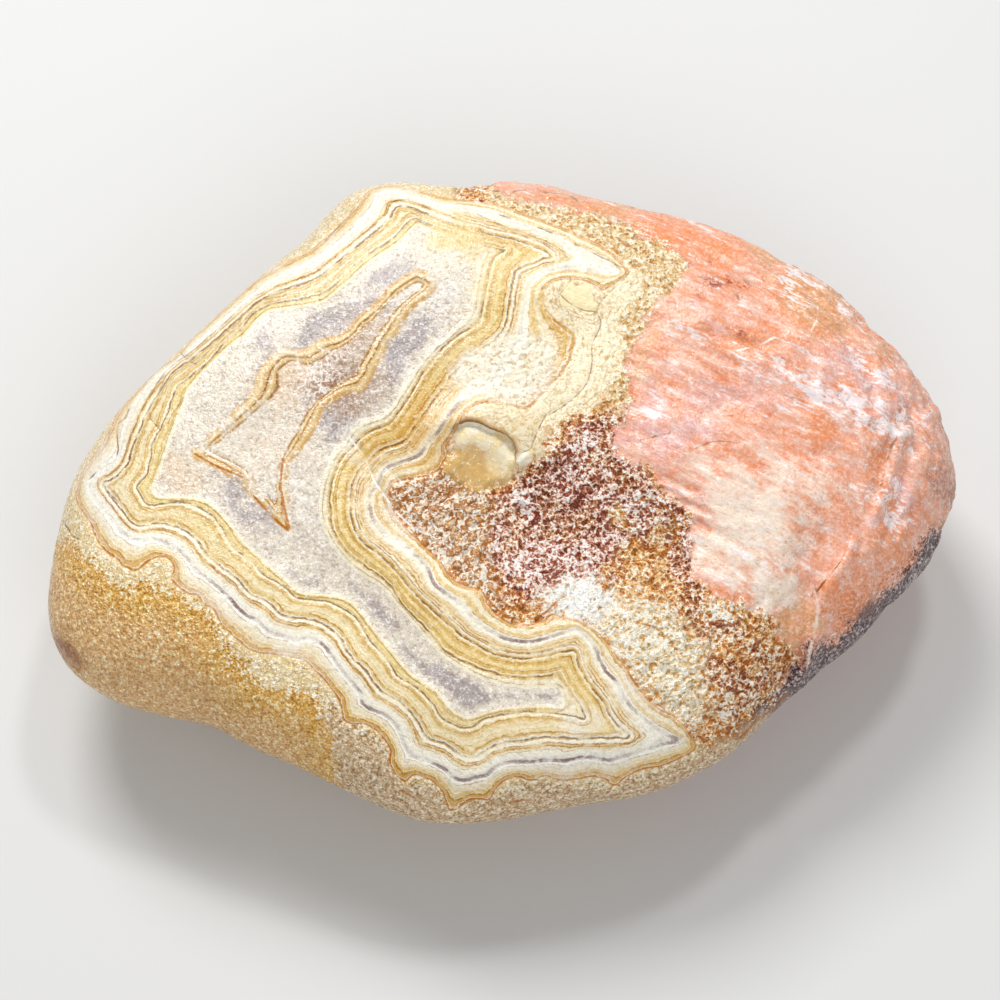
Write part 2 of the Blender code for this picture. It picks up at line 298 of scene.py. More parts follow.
# Soft tints on the pink end, in the bands and among the crystals: middle, half widths, turn in
# degrees clockwise, strength
tints = {
    "cream": [
        ((745, 525), (55, 62), 10, 0.9), ((772, 596), (36, 24), 20, 1.0), ((705, 470), (40, 20), 10, 0.5),
        ((800, 480), (60, 30), 35, 0.45), ((640, 372), (10, 24), 10, 0.3), ((700, 560), (14, 20), 0, 0.6),
    ],
    "lilac": [
        ((672, 432), (52, 14), -4, 0.8), ((872, 384), (66, 17), 27, 0.9), ((655, 405), (26, 18), 0, 0.7),
        ((690, 500), (16, 36), -20, 0.5), ((840, 400), (52, 8), 24, 0.8), ((905, 490), (20, 14), 50, 0.9),
        ((700, 312), (44, 9), 15, 0.5), ((880, 520), (34, 10), -40, 0.6),
    ],
    "mauve": [
        ((722, 395), (50, 18), 5, 0.7), ((760, 372), (40, 10), 15, 0.4), ((648, 446), (22, 8), 20, 0.5),
        ((668, 462), (30, 8), 8, 0.5),
    ],
    "deep": [
        ((905, 560), (36, 40), 35, 0.6), ((820, 424), (44, 15), 18, 0.7), ((855, 610), (30, 40), 20, 0.85),
        ((735, 330), (54, 16), 15, 0.5), ((565, 198), (70, 8), 6, 0.5), ((680, 236), (70, 22), 15, 0.8),
        ((720, 275), (40, 20), 20, 0.5), ((770, 295), (50, 14), 30, 0.45), ((880, 455), (12, 34), 15, 0.7),
        ((838, 605), (12, 30), 10, 0.9), ((655, 340), (16, 26), 0, 0.4), ((758, 452), (54, 6), 12, 0.5),
    ],
    "gold": [
        ((815, 300), (54, 24), 38, 0.9), ((770, 258), (46, 10), 24, 0.7), ((590, 200), (80, 9), 8, 0.9),
        ((801, 622), (9, 38), 8, 0.9), ((646, 345), (13, 34), 10, 0.7), ((886, 350), (22, 14), 50, 0.6),
        ((760, 345), (24, 10), -10, 0.4),
    ],
    "shine": [
        ((800, 284), (26, 14), 10, 0.9), ((835, 305), (34, 10), 40, 0.6), ((880, 378), (44, 10), 36, 1.2),
        ((822, 388), (84, 10), 27, 1.1), ((880, 414), (44, 8), 24, 1.1), ((775, 360), (36, 6), 15, 0.8),
        ((888, 514), (32, 9), 52, 1.0), ((917, 446), (8, 14), 20, 0.9), ((893, 492), (14, 8), 0, 0.8),
        ((700, 335), (50, 5), 22, 0.5), ((700, 225), (14, 3), 15, 0.8), ((795, 410), (50, 8), 12, 0.5),
        ((910, 432), (20, 24), 10, 0.6), ((890, 505), (26, 12), -50, 0.6), ((665, 430), (40, 12), 0, 0.4),
        ((650, 418), (9, 28), -12, 0.8), ((765, 560), (34, 40), 0, 0.35),
    ],
    "pits": [
        ((712, 284), (14, 7), 15, 1.0), ((728, 282), (9, 6), 0, 1.0), ((744, 285), (8, 5), 0, 0.9),
        ((738, 298), (5, 4), 0, 0.9), ((741, 332), (10, 6), 20, 0.9), ((700, 296), (6, 5), 0, 0.6),
        ((711, 262), (3, 3), 0, 0.9), ((749, 340), (6, 4), 0, 0.7),
    ],
    "butter": [
        ((455, 246), (30, 17), 5, 1.0), ((470, 285), (12, 26), 5, 0.5), ((580, 330), (30, 22), 30, 0.4),
        ((530, 300), (16, 20), 0, 0.5), ((190, 522), (40, 7), 5, 0.6), ((222, 560), (22, 8), 45, 0.6),
    ],
    "amber": [
        ((415, 425), (46, 20), -48, 0.95), ((372, 500), (14, 34), -8, 0.5),
        ((440, 440), (24, 20), -40, 0.8), ((502, 406), (34, 6), 6, 0.5), ((430, 462), (34, 10), -10, 0.8),
        ((520, 432), (14, 16), 20, 0.8), ((455, 385), (20, 12), -45, 0.6), ((130, 440), (14, 30), 12, 0.3),
    ],
    # white patches in the bands; the ovals along the left and top rims are painted highlights
    "white": [
        ((360, 452), (20, 8), 45, 0.6), ((98, 455), (14, 40), 30, 0.7), ((105, 520), (18, 34), -35, 0.6),
        ((440, 320), (24, 30), 30, 0.6), ((225, 600), (54, 10), 35, 0.6), ((575, 715), (24, 12), 20, 0.7),
        ((640, 690), (18, 34), -45, 0.6), ((385, 515), (12, 26), -20, 0.7), ((290, 662), (34, 10), 8, 0.7),
        ((330, 225), (14, 26), 40, 0.6), ((560, 765), (70, 8), 0, 0.6), ((430, 280), (18, 12), -40, 0.7),
        ((445, 192), (60, 6), 4, 0.8), ((530, 183), (40, 4), 2, 0.9), ((240, 285), (70, 6), -38, 0.7),
        ((540, 425), (16, 14), -30, 0.7), ((505, 380), (40, 14), 20, 0.5),
    ],
    "frost": [
        ((322, 375), (34, 26), -30, 0.8), ((350, 430), (26, 32), -40, 0.55),
        ((362, 452), (16, 14), 40, 0.9), ((256, 440), (30, 26), 0, 0.3), ((404, 375), (16, 26), -30, 0.45),
        ((240, 335), (44, 12), -30, 0.5), ((430, 520), (40, 30), 0, 0.3), ((425, 295), (12, 22), 35, 0.7),
        ((300, 500), (50, 26), 40, 0.35),
    ],
    "ash": [
        ((400, 350), (17, 46), 38, 1.2), ((330, 326), (46, 12), -20, 1.1), ((385, 282), (40, 14), -42, 0.7),
        ((322, 556), (26, 14), 45, 0.3), ((375, 605), (40, 14), 48, 0.8), ((450, 680), (54, 18), 25, 1.25),
        ((540, 697), (64, 14), 0, 1.2), ((222, 500), (36, 8), 35, 0.5), ((360, 440), (20, 30), -30, 0.8),
        ((250, 500), (44, 10), 35, 0.8), ((340, 500), (14, 34), -10, 0.6), ((310, 585), (60, 9), 42, 0.6),
        ((258, 352), (16, 26), -30, 0.6), ((345, 425), (26, 34), -38, 1.4),
    ],
    "blush": [
        ((290, 382), (24, 26), -20, 1.0), ((180, 468), (28, 16), 0, 0.7), ((262, 445), (34, 26), -20, 0.4),
        ((330, 385), (24, 22), -20, 0.5), ((350, 350), (20, 30), 30, 0.5),
    ],
    "umber": [
        ((340, 380), (32, 26), -30, 1.1), ((358, 348), (14, 30), 35, 0.8), ((320, 350), (22, 8), -15, 0.4),
        ((66, 652), (10, 14), 0, 1.0), ((76, 628), (8, 5), 0, 0.7), ((350, 425), (20, 30), -38, 0.5),
    ],
    "purple": [
        ((235, 610), (46, 20), 42, 1.0), ((310, 645), (44, 20), 20, 1.0), ((370, 720), (44, 26), 50, 1.0),
        ((450, 775), (60, 24), 10, 1.0), ((560, 762), (80, 16), 0, 1.0), ((610, 680), (26, 60), -40, 1.0),
        ((520, 640), (60, 16), 0, 1.0), ((430, 580), (40, 50), 45, 0.9), ((370, 505), (16, 30), 0, 0.7),
        ((400, 462), (40, 12), -25, 1.0), ((445, 425), (16, 30), 45, 0.9), ((160, 548), (50, 16), 20, 0.6),
        ((650, 735), (50, 12), 20, 0.9), ((525, 340), (8, 50), 10, 0.25), ((575, 262), (50, 8), 10, 0.35),
    ],
    "ochre": [
        ((350, 318), (90, 30), -38, 1.1), ((400, 288), (44, 26), -50, 1.1), ((352, 372), (30, 70), 38, 1.1),
        ((308, 430), (20, 36), 40, 1.2), ((268, 382), (26, 22), 0, 1.0), ((236, 420), (50, 16), -48, 0.5),
        ((222, 460), (40, 14), 22, 0.7), ((284, 495), (16, 40), 10, 0.6), ((266, 512), (24, 14), 45, 0.6),
    ],
    "shade": [
        ((862, 632), (50, 17), -48, 1.05), ((850, 612), (60, 26), -48, 0.25),
        ((934, 548), (12, 30), 30, 0.7), ((806, 664), (12, 26), 20, 0.8), ((846, 622), (18, 12), 0, 0.5),
        ((822, 600), (7, 30), 14, 0.45), ((950, 500), (12, 40), 5, 0.5),
    ],
    "fold": [
        ((840, 385), (120, 50), 27, 1.0), ((760, 330), (80, 30), 20, 0.8), ((910, 470), (40, 70), 0, 0.6),
        ((800, 290), (70, 30), 35, 0.8), ((665, 480), (24, 50), -20, 0.4),
    ],
    "huskBrown": [
        ((100, 540), (40, 30), 35, 0.9), ((160, 565), (40, 24), 10, 1.0), ((210, 615), (30, 30), 45, 0.7),
        ((330, 690), (40, 34), 45, 1.0), ((400, 765), (50, 30), 40, 1.0), ((500, 790), (90, 24), 0, 1.0),
        ((620, 775), (80, 20), -15, 1.0), ((440, 570), (50, 60), 40, 0.7), ((520, 612), (50, 20), 0, 1.0),
        ((490, 405), (44, 12), 5, 0.5), ((425, 478), (40, 10), -10, 0.8), ((345, 220), (10, 24), 35, 0.9),
        ((640, 680), (30, 60), -40, 0.35), ((600, 285), (20, 14), 0, 0.5),
    ],
    "ember": [
        ((508, 528), (26, 44), 0, 0.75), ((560, 520), (50, 26), 15, 0.8), ((615, 425), (14, 50), 15, 0.9),
        ((600, 470), (40, 20), 20, 0.9), ((560, 500), (40, 14), 30, 0.8), ((650, 490), (30, 14), 30, 0.8),
        ((690, 610), (12, 50), -20, 0.9), ((735, 640), (18, 40), -30, 0.7),
        ((705, 650), (20, 60), -20, 0.8), ((505, 603), (20, 10), -30, 0.9), ((535, 598), (16, 8), 10, 0.8),
        ((645, 510), (40, 16), 50, 0.5), ((745, 700), (50, 18), -35, 0.8), ((680, 550), (10, 40), -10, 0.8),
        ((715, 660), (12, 60), -35, 0.9), ((765, 660), (12, 40), -30, 0.7), ((660, 600), (36, 6), 30, 0.7),
        ((640, 545), (40, 6), 45, 0.7),
    ],
    "glow": [
        ((640, 565), (26, 34), -20, 0.8), ((625, 520), (26, 14), 40, 0.6), ((655, 545), (30, 30), 0, 0.5),
        ((620, 600), (30, 14), 0, 0.8), ((520, 622), (46, 8), 0, 0.8), ((408, 499), (10, 7), -10, 0.9),
        ((680, 680), (24, 40), -20, 0.6), ((750, 625), (14, 22), 0, 0.7), ((600, 400), (30, 12), -20, 0.6),
        ((560, 440), (20, 12), -30, 0.5), ((650, 615), (34, 10), 30, 0.7),
    ],
    "snow": [
        ((520, 505), (16, 12), 0, 1.0), ((535, 560), (50, 12), 5, 0.7), ((580, 600), (36, 16), 0, 0.9),
        ((625, 505), (20, 10), 0, 0.6), ((725, 620), (18, 16), 0, 0.8), ((612, 640), (14, 30), 20, 0.5),
        ((600, 440), (20, 22), 0, 0.5), ((640, 400), (10, 24), 0, 0.7), ((445, 455), (8, 26), 30, 0.9),
        ((465, 485), (26, 8), 10, 0.7), ((718, 700), (20, 20), 0, 0.7), ((455, 520), (20, 10), 0, 0.5),
    ],
}

# Traced marks: strength, then the points that each runs through
darkLines = [
    (0.8, [(144, 410), (148, 416), (155, 424), (160, 430)]),
    (0.6, [(147, 411), (150, 403), (157, 393), (163, 380)]),
    (0.6, [(167, 425), (172, 413), (178, 405), (181, 400)]),
    (0.9, [(128, 410), (125, 417), (117, 425), (117, 440), (118, 448), (114, 460), (108, 464),
           (102, 468), (95, 473), (90, 478)]),
    (0.7, [(101, 483), (105, 489), (112, 496), (117, 502)]),
    (1.0, [(64, 524), (72, 535), (78, 539)]),
    (0.8, [(500, 214), (520, 221), (548, 231), (575, 243), (600, 256), (622, 267)]),
    (0.6, [(478, 214), (500, 224), (524, 232), (548, 242), (566, 252)]),
    (0.7, [(523, 452), (530, 449), (534, 440), (538, 430), (546, 415)]),
    (0.7, [(598, 332), (592, 345), (592, 362), (588, 380), (580, 392), (566, 404), (552, 413)]),
    (0.8, [(560, 294), (570, 303), (584, 310), (596, 312), (601, 322), (598, 332)]),
    (0.5, [(606, 296), (614, 288), (624, 278), (631, 270)]),
    (0.9, [(847, 550), (838, 565), (826, 580), (816, 592)]),
    (0.6, [(895, 436), (890, 455), (884, 474), (879, 492)]),
    (0.5, [(648, 610), (668, 618), (682, 632), (692, 650), (694, 670)]),
    (0.6, [(489, 199), (505, 194), (520, 189), (545, 189), (570, 195), (582, 200)]),
    (0.6, [(325, 240), (337, 226), (350, 212), (358, 200)]),
    (0.6, [(180, 352), (188, 360), (196, 364)]),
    (0.7, [(640, 440), (655, 436), (672, 432)]),
    (0.6, [(695, 448), (715, 441), (740, 444)]),
]
paleLines = [
    (1.0, [(350, 438), (357, 447), (365, 457), (370, 470), (375, 482), (382, 492), (392, 505),
           (402, 517), (415, 528), (430, 535), (440, 541), (450, 547)]),
    (0.7, [(385, 468), (400, 480), (414, 491)]),
    (1.0, [(205, 450), (215, 455), (228, 461), (240, 467), (246, 472)]),
    (0.9, [(736, 350), (752, 346), (770, 340), (790, 331)]),
    (0.6, [(790, 395), (812, 402), (840, 412), (870, 421), (900, 430)]),
    (0.6, [(800, 350), (825, 360), (850, 370), (890, 386), (930, 401)]),
    (0.9, [(900, 441), (912, 430), (924, 418), (932, 408)]),
    (0.55, [(815, 590), (817, 605), (815, 622), (808, 650), (803, 668)]),
    (0.7, [(818, 305), (817, 318), (812, 330)]),
    (0.6, [(860, 340), (872, 352), (886, 368)]),
    (0.5, [(690, 520), (705, 540), (716, 566), (735, 585)]),
    (0.7, [(686, 222), (698, 228), (712, 234)]),
    (0.6, [(900, 432), (900, 446), (896, 462)]),
    (0.6, [(600, 655), (612, 668), (622, 684)]),
]
rustLines = [
    (0.9, [(255, 497), (265, 509), (276, 520), (288, 530)]),
    (0.8, [(283, 460), (281, 478), (282, 495), (286, 514), (289, 528)]),
    (0.9, [(196, 454), (210, 463), (226, 470), (242, 477)]),
    (0.7, [(402, 790), (414, 797), (430, 801)]),
    (0.7, [(510, 803), (522, 800), (536, 800)]),
    (0.8, [(60, 646), (63, 656), (70, 664), (80, 670)]),
    (0.8, [(740, 738), (755, 722), (772, 708), (788, 696)]),
    (0.7, [(628, 672), (640, 690), (650, 700), (662, 707)]),
    (0.9, [(690, 600), (702, 612), (712, 628), (716, 646)]),
    (0.7, [(730, 612), (745, 622), (755, 636), (760, 652)]),
    (0.9, [(486, 596), (498, 610), (512, 618), (530, 619), (546, 612), (556, 602)]),
    (0.7, [(494, 590), (504, 603), (518, 610), (532, 610), (545, 602)]),
    (0.9, [(640, 500), (658, 502), (672, 514), (676, 532), (668, 548), (656, 556)]),
    (0.6, [(92, 530), (100, 545), (112, 556)]),
    (0.6, [(636, 622), (656, 628), (672, 642), (680, 660)]),
]

stoneMesh = {
    "joinBend": 60.0,       # how bent and how skewed a joined pair of triangles may be, in degrees
    "joinSkew": 75.0,
    "roundLevels": 1,       # smooths the plain solid's facets
    "steep": 0.75,          # sides with less of their normal upright than this are smoothed first
    "sideSmoothing": 6,
    "facing": 0.02,         # how far a facet turns to the camera before it is cut finer
    "bandCuts": 2,          # extra cuts where the face is banded or crystalline
    "faceCuts": 1,          # and on the rest of what faces the camera
    "plainMargin": 14.0,    # pixels inside the jasper and the sand where the coarser cuts start
    "coarseArea": 0.12,     # facets and edges larger than this are cut, in millimetres
    "coarseEdge": 0.4,
    "lastSmoothing": 3,
    "patchWander": (3.5, 14.0),     # how far patch outlines stray, and how often, in pixels
    "tintWander": (11.0, 34.0),
}

# Fine relief, in millimetres
relief = {
    "worn": 0.06, "wornSpacing": 2.6,
    "bandSteps": 0.07,
    "crystals": 0.34, "crystalSize": 0.55,
    "sugar": 0.22, "sugarSize": 0.42,
    "cells": 0.30, "cellSize": 0.78,
    "frost": 0.13, "frostSize": 0.45,
    "rust": 0.30, "rustSize": 0.62,
    "sand": 0.05, "sandSize": 0.35,
    "folds": 0.46, "foldLength": 6.0, "foldWidth": 1.25, "foldTurn": 27.0,
    "leather": 0.07, "leatherSpacing": 0.8,
    "fault": 0.12,
    "cracks": 0.10,
    "pits": 0.22,
    "dimpleFloor": 0.35,
    "pillows": 0.60, "pillowSpacing": 6.0,
    "hollows": 0.35, "hollowSpacing": 1.7,
    "ringRise": 0.08,
}
# Heights across the bands, as shares of bandSteps: where from loop to loop, and how high
bandSteps = [(-2, -0.9), (-0.3, -0.7), (0.15, 0.5), (0.9, 0.1), (1.0, -0.5), (1.15, 0.5), (1.9, 0.2),
             (2.0, -0.6), (2.15, 0.6), (2.85, 0.5), (3.0, -0.5), (3.15, 0.6), (3.8, 0.2), (4.0, -0.45),
             (4.3, 0.1)]
phaseReach = 12.0           # pixels before the first loop, and past the last, that count as one band
lineReach = 6.0             # pixels either side of a traced mark that its attribute covers

# What the mesh hands to the material, three to an attribute
storedFields = [
    "first", "second", "third", "fourth", "husk", "phase", "ringOuter", "ringInner", "side",
    "jasper", "sugar", "honeycomb", "redCrystals", "dimple", "eye", "sandyRind", "huskRim", "speckled",
    "whiteGranular", "creamSwirl", "greyHusk", "creamField", "facing", "lip",
    "creamTint", "lilacTint", "mauveTint", "deepTint", "goldTint", "shineTint",
    "pitsTint", "butterTint", "amberTint", "whiteTint", "frostTint", "ashTint",
    "blushTint", "umberTint", "purpleTint", "huskBrownTint", "emberTint", "glowTint",
    "snowTint", "grainTall", "grainEdge", "ochreTint", "shadeTint",
]


def photoPixels(spots):
    # spots are in millimetres; the answer is across and down the photograph
    tilt = math.radians(view["elevation"])
    offset = spots - np.array(view["aim"])
    depth = view["distance"] + offset[:, 1] * math.cos(tilt) - offset[:, 2] * math.sin(tilt)
    scale = view["lens"] / view["sensor"] * view["photoSize"] / depth
    up = offset[:, 1] * math.sin(tilt) + offset[:, 2] * math.cos(tilt)
    middle = view["photoSize"] / 2
    return np.stack([middle + offset[:, 0] * scale, middle - up * scale], axis=1)


def smoothCurve(points, closed):
    # a rounded curve through the traced points, about one pixel from each spot to the next
    points = np.array(points, float)
    if closed:
        before, after, second = (np.roll(points, shift, axis=0) for shift in (1, -1, -2))
        start = points
    else:
        longer = np.vstack([points[:1], points, points[-1:]])
        before, start, after, second = longer[:-3], longer[1:-2], longer[2:-1], longer[3:]
    spots = []
    for b, p, a, s in zip(before, start, after, second):
        steps = max(2, int(np.hypot(*(a - p))))
        for t in np.arange(steps) / steps:
            bend = (2 * b - 5 * p + 4 * a - s) * t ** 2 + (3 * p - b - 3 * a + s) * t ** 3
            spots.append(p + 0.5 * ((a - b) * t + bend))
    return np.array(spots)


def nearestCurve(pixels, curves, closed):
    # signed distance from each pixel to the nearest curve, and which curve that is
    tree = kdtree.KDTree(sum(len(curve) for curve in curves))
    heading, owner = [], []
    for number, curve in enumerate(curves):
        if closed:
            along = np.roll(curve, -1, axis=0) - np.roll(curve, 1, axis=0)
            nextSpot = np.roll(curve, -1, axis=0)
            along = along * np.sign(np.sum(curve[:, 0] * nextSpot[:, 1] - nextSpot[:, 0] * curve[:, 1]))
        else:
            along = np.gradient(curve, axis=0)
        for spot in curve:
            tree.insert((spot[0], spot[1], 0), len(owner))
            owner.append(number)
        heading.append(along / np.linalg.norm(along, axis=1, keepdims=True))
    tree.balance()
    found = np.array([tree.find((x, y, 0))[1] for x, y in pixels])
    heading = np.vstack(heading)[found]
    offset = pixels - np.vstack(curves)[found]
    reach = np.hypot(offset[:, 0], offset[:, 1])
    along = np.minimum(np.abs(np.sum(offset * heading, axis=1)), 0.5)
    across = offset[:, 0] * heading[:, 1] - offset[:, 1] * heading[:, 0]
    distance = np.sqrt(np.maximum(reach ** 2 - along ** 2, 0))
    return np.where(across >= 0, distance, -distance), np.array(owner)[found]


def outlineDistance(pixels, points):
    # positive outside a closed outline, negative inside it
    return nearestCurve(pixels, [smoothCurve(points, True)], True)[0]


def bandPhase(distances):
    # 0 at the first loop, 1 at the second and so on, so that a band keeps its share of the gap
    phase = distances[0] / phaseReach
    for number in range(len(distances) - 1):
        inner, outer = distances[number], distances[number + 1]
        between = (inner > 0) & (outer <= 0)
        phase = np.where(between, number + inner / np.maximum(inner - outer, 1e-6), phase)
    last = distances[-1]
    return np.where(last > 0, len(distances) - 1 + last / phaseReach, phase)


def woundLines(pixels, lines):
    # A mark's signed distance is wound round a circle. Both far sides meet at half a turn, so
    # the value stays smooth between the mesh's points and the mark stays sharp.
    curves = [smoothCurve(points, False) for strength, points in lines]
    distance, owner = nearestCurve(pixels, curves, False)
    strength = np.array([strength for strength, points in lines])[owner]
    turn = math.pi * np.clip(distance / lineReach, -1, 1)
    return np.stack([np.cos(turn), np.sin(turn), strength], axis=1), np.abs(distance)


def softSpots(pixels, spots):
    # strength of the strongest soft-edged oval at each pixel
    amount = np.zeros(len(pixels))
    for (across, down), (wide, high), turn, strength in spots:
        c, s = math.cos(math.radians(turn)), math.sin(math.radians(turn))
        x, y = pixels[:, 0] - across, pixels[:, 1] - down
        u, v = (x * c + y * s) / wide, (y * c - x * s) / high
        amount = np.maximum(amount, strength * np.exp(-u ** 2 - v ** 2))
    return amount


def easeIn(value, start, end):
    share = np.clip((value - start) / (end - start), 0, 1)
    return share * share * (3 - 2 * share)


def noiseAt(spots, spacing, seed):
    shift = Vector((seed, seed * 1.7, seed * 0.6))
    return np.array([noise.noise(Vector(spot) / spacing + shift) for spot in spots])


def strayed(pixels, wander):
    # the same pixels, pushed about by soft noise, so that edges and tints look grown
    amount, spacing = wander
    flat = np.column_stack([pixels, np.zeros(len(pixels))])
    push = np.stack([noiseAt(flat, spacing, 31.0), noiseAt(flat, spacing, 57.0)], axis=1)
    finer = np.stack([noiseAt(flat, spacing / 3, 71.0), noiseAt(flat, spacing / 3, 83.0)], axis=1)
    return pixels + amount * 2 * push + amount * 0.8 * finer


def meshArrays(mesh):
    spots = np.empty(len(mesh.vertices) * 3)
    normals = np.empty(len(mesh.vertices) * 3)
    mesh.vertices.foreach_get("co", spots)
    mesh.vertices.foreach_get("normal", normals)
    return spots.reshape(-1, 3) / millimetre, normals.reshape(-1, 3)


def towardCamera():
    tilt = math.radians(view["elevation"])
    return np.array([0, -math.cos(tilt), math.sin(tilt)])


def smoothOnce(bm, verts):
    bmesh.ops.smooth_vert(bm, verts=verts, factor=0.5, use_axis_x=True, use_axis_y=True, use_axis_z=True)


def fineMesh(node):
    # the plain solid, rounded, then divided finely where its face has detail
    bm = bmesh.new()
    bm.from_mesh(node.data)
    bmesh.ops.remove_doubles(bm, verts=bm.verts[:], dist=1e-6)
    bmesh.ops.join_triangles(bm, faces=bm.faces[:], angle_face_threshold=math.radians(stoneMesh["joinBend"]),
                             angle_shape_threshold=math.radians(stoneMesh["joinSkew"]))
    mesh = bpy.data.meshes.new("roundedStone")
    bm.to_mesh(mesh)
    bm.free()
    rough = bpy.data.objects.new("roundedStone", mesh)
    bpy.context.scene.collection.objects.link(rough)
    rounding = rough.modifiers.new("rounding", "SUBSURF")
    rounding.levels = rounding.render_levels = stoneMesh["roundLevels"]
    rounded = bpy.data.meshes.new_from_object(rough.evaluated_get(bpy.context.evaluated_depsgraph_get()))
    bpy.data.objects.remove(rough)
    bm = bmesh.new()
    bm.from_mesh(rounded)
    aim = Vector(towardCamera())
    bm.normal_update()
    side = [v for v in bm.verts if abs(v.normal.z) < stoneMesh["steep"]]
    for _ in range(stoneMesh["sideSmoothing"]):
        smoothOnce(bm, side)
    bm.normal_update()
    seen = [f for f in bm.faces if f.normal.dot(aim) > stoneMesh["facing"]]
    middles = photoPixels(np.array([f.calc_center_median() for f in seen]) / millimetre)
    pink = outlineDistance(middles, patches["jasper"]) < -stoneMesh["plainMargin"]
    sandy = outlineDistance(middles, patches["sandyRind"]) < -stoneMesh["plainMargin"]
    detailed = {f for f, plain in zip(seen, pink | sandy) if not plain}
    fine = {e for f in detailed for e in f.edges}
    bmesh.ops.subdivide_edges(bm, edges=list(fine), cuts=stoneMesh["bandCuts"], use_grid_fill=True)
    bm.normal_update()
    largest, longest = stoneMesh["coarseArea"] * millimetre ** 2, stoneMesh["coarseEdge"] * millimetre
    coarse = {e for f in bm.faces if f.normal.dot(aim) > stoneMesh["facing"] and f.calc_area() > largest
              for e in f.edges if e.calc_length() > longest}
    bmesh.ops.subdivide_edges(bm, edges=list(coarse), cuts=stoneMesh["faceCuts"], use_grid_fill=True)
    bmesh.ops.triangulate(bm, faces=bm.faces[:])
    for _ in range(stoneMesh["lastSmoothing"]):
        smoothOnce(bm, bm.verts[:])
    bmesh.ops.recalc_face_normals(bm, faces=bm.faces[:])
    bm.to_mesh(rounded)
    bm.free()
    return rounded


def crystalRelief(spots, where, size, seed):
    # facet height and distance from a cell's edge, on the points named by where
    height, edge = np.zeros(len(spots)), np.zeros(len(spots))
    for i in np.nonzero(where)[0]:
        place = Vector(spots[i]) / size + Vector((seed, 0, 0))
        reach = noise.voronoi(place)[0]
        height[i] = 1 - min(1.0, reach[0])
        edge[i] = min(1.0, (reach[1] - reach[0]) * 2)
    return height, edge


def surfaceFields(spots, normals):
    pixels = photoPixels(spots)
    fields = {}
    distances = [outlineDistance(pixels, points) for points in bandLoops.values()]
    fields.update(zip(("first", "second", "third", "fourth", "husk"), distances))
    fields["phase"] = bandPhase(distances)
    for name, points in zip(("ringOuter", "ringInner"), innerLoops.values()):
        fields[name] = outlineDistance(pixels, points)
    fields["side"] = nearestCurve(pixels, [smoothCurve(heartLine, False)], False)[0]
    grown = strayed(pixels, stoneMesh["patchWander"])
    for name, points in patches.items():
        fields[name] = outlineDistance(grown, points)
    drifted = strayed(pixels, stoneMesh["tintWander"])
    for name, spotList in tints.items():
        fields[name + "Tint"] = softSpots(drifted, spotList)
    fields["pitsTint"] = softSpots(pixels, tints["pits"])
    for name, lines in (("dark", darkLines), ("pale", paleLines), ("rusty", rustLines)):
        fields[name], fields[name + "Distance"] = woundLines(pixels, lines)
    fields["facing"] = normals @ towardCamera()
    for name, (rise, reach, points) in lips.items():
        fields[name] = nearestCurve(pixels, [smoothCurve(points, False)], False)[0]
    return fields


def streakNoise(spots, seed):
    # long narrow streaks that run down to the right across the pink end
    turn = math.radians(relief["foldTurn"])
    along = (spots[:, 0] * math.cos(turn) - spots[:, 1] * math.sin(turn)) / relief["foldLength"]
    across = (spots[:, 0] * math.sin(turn) + spots[:, 1] * math.cos(turn)) / relief["foldWidth"]
    return noiseAt(np.stack([along, across, spots[:, 2] / relief["foldWidth"]], axis=1), 1.0, seed)


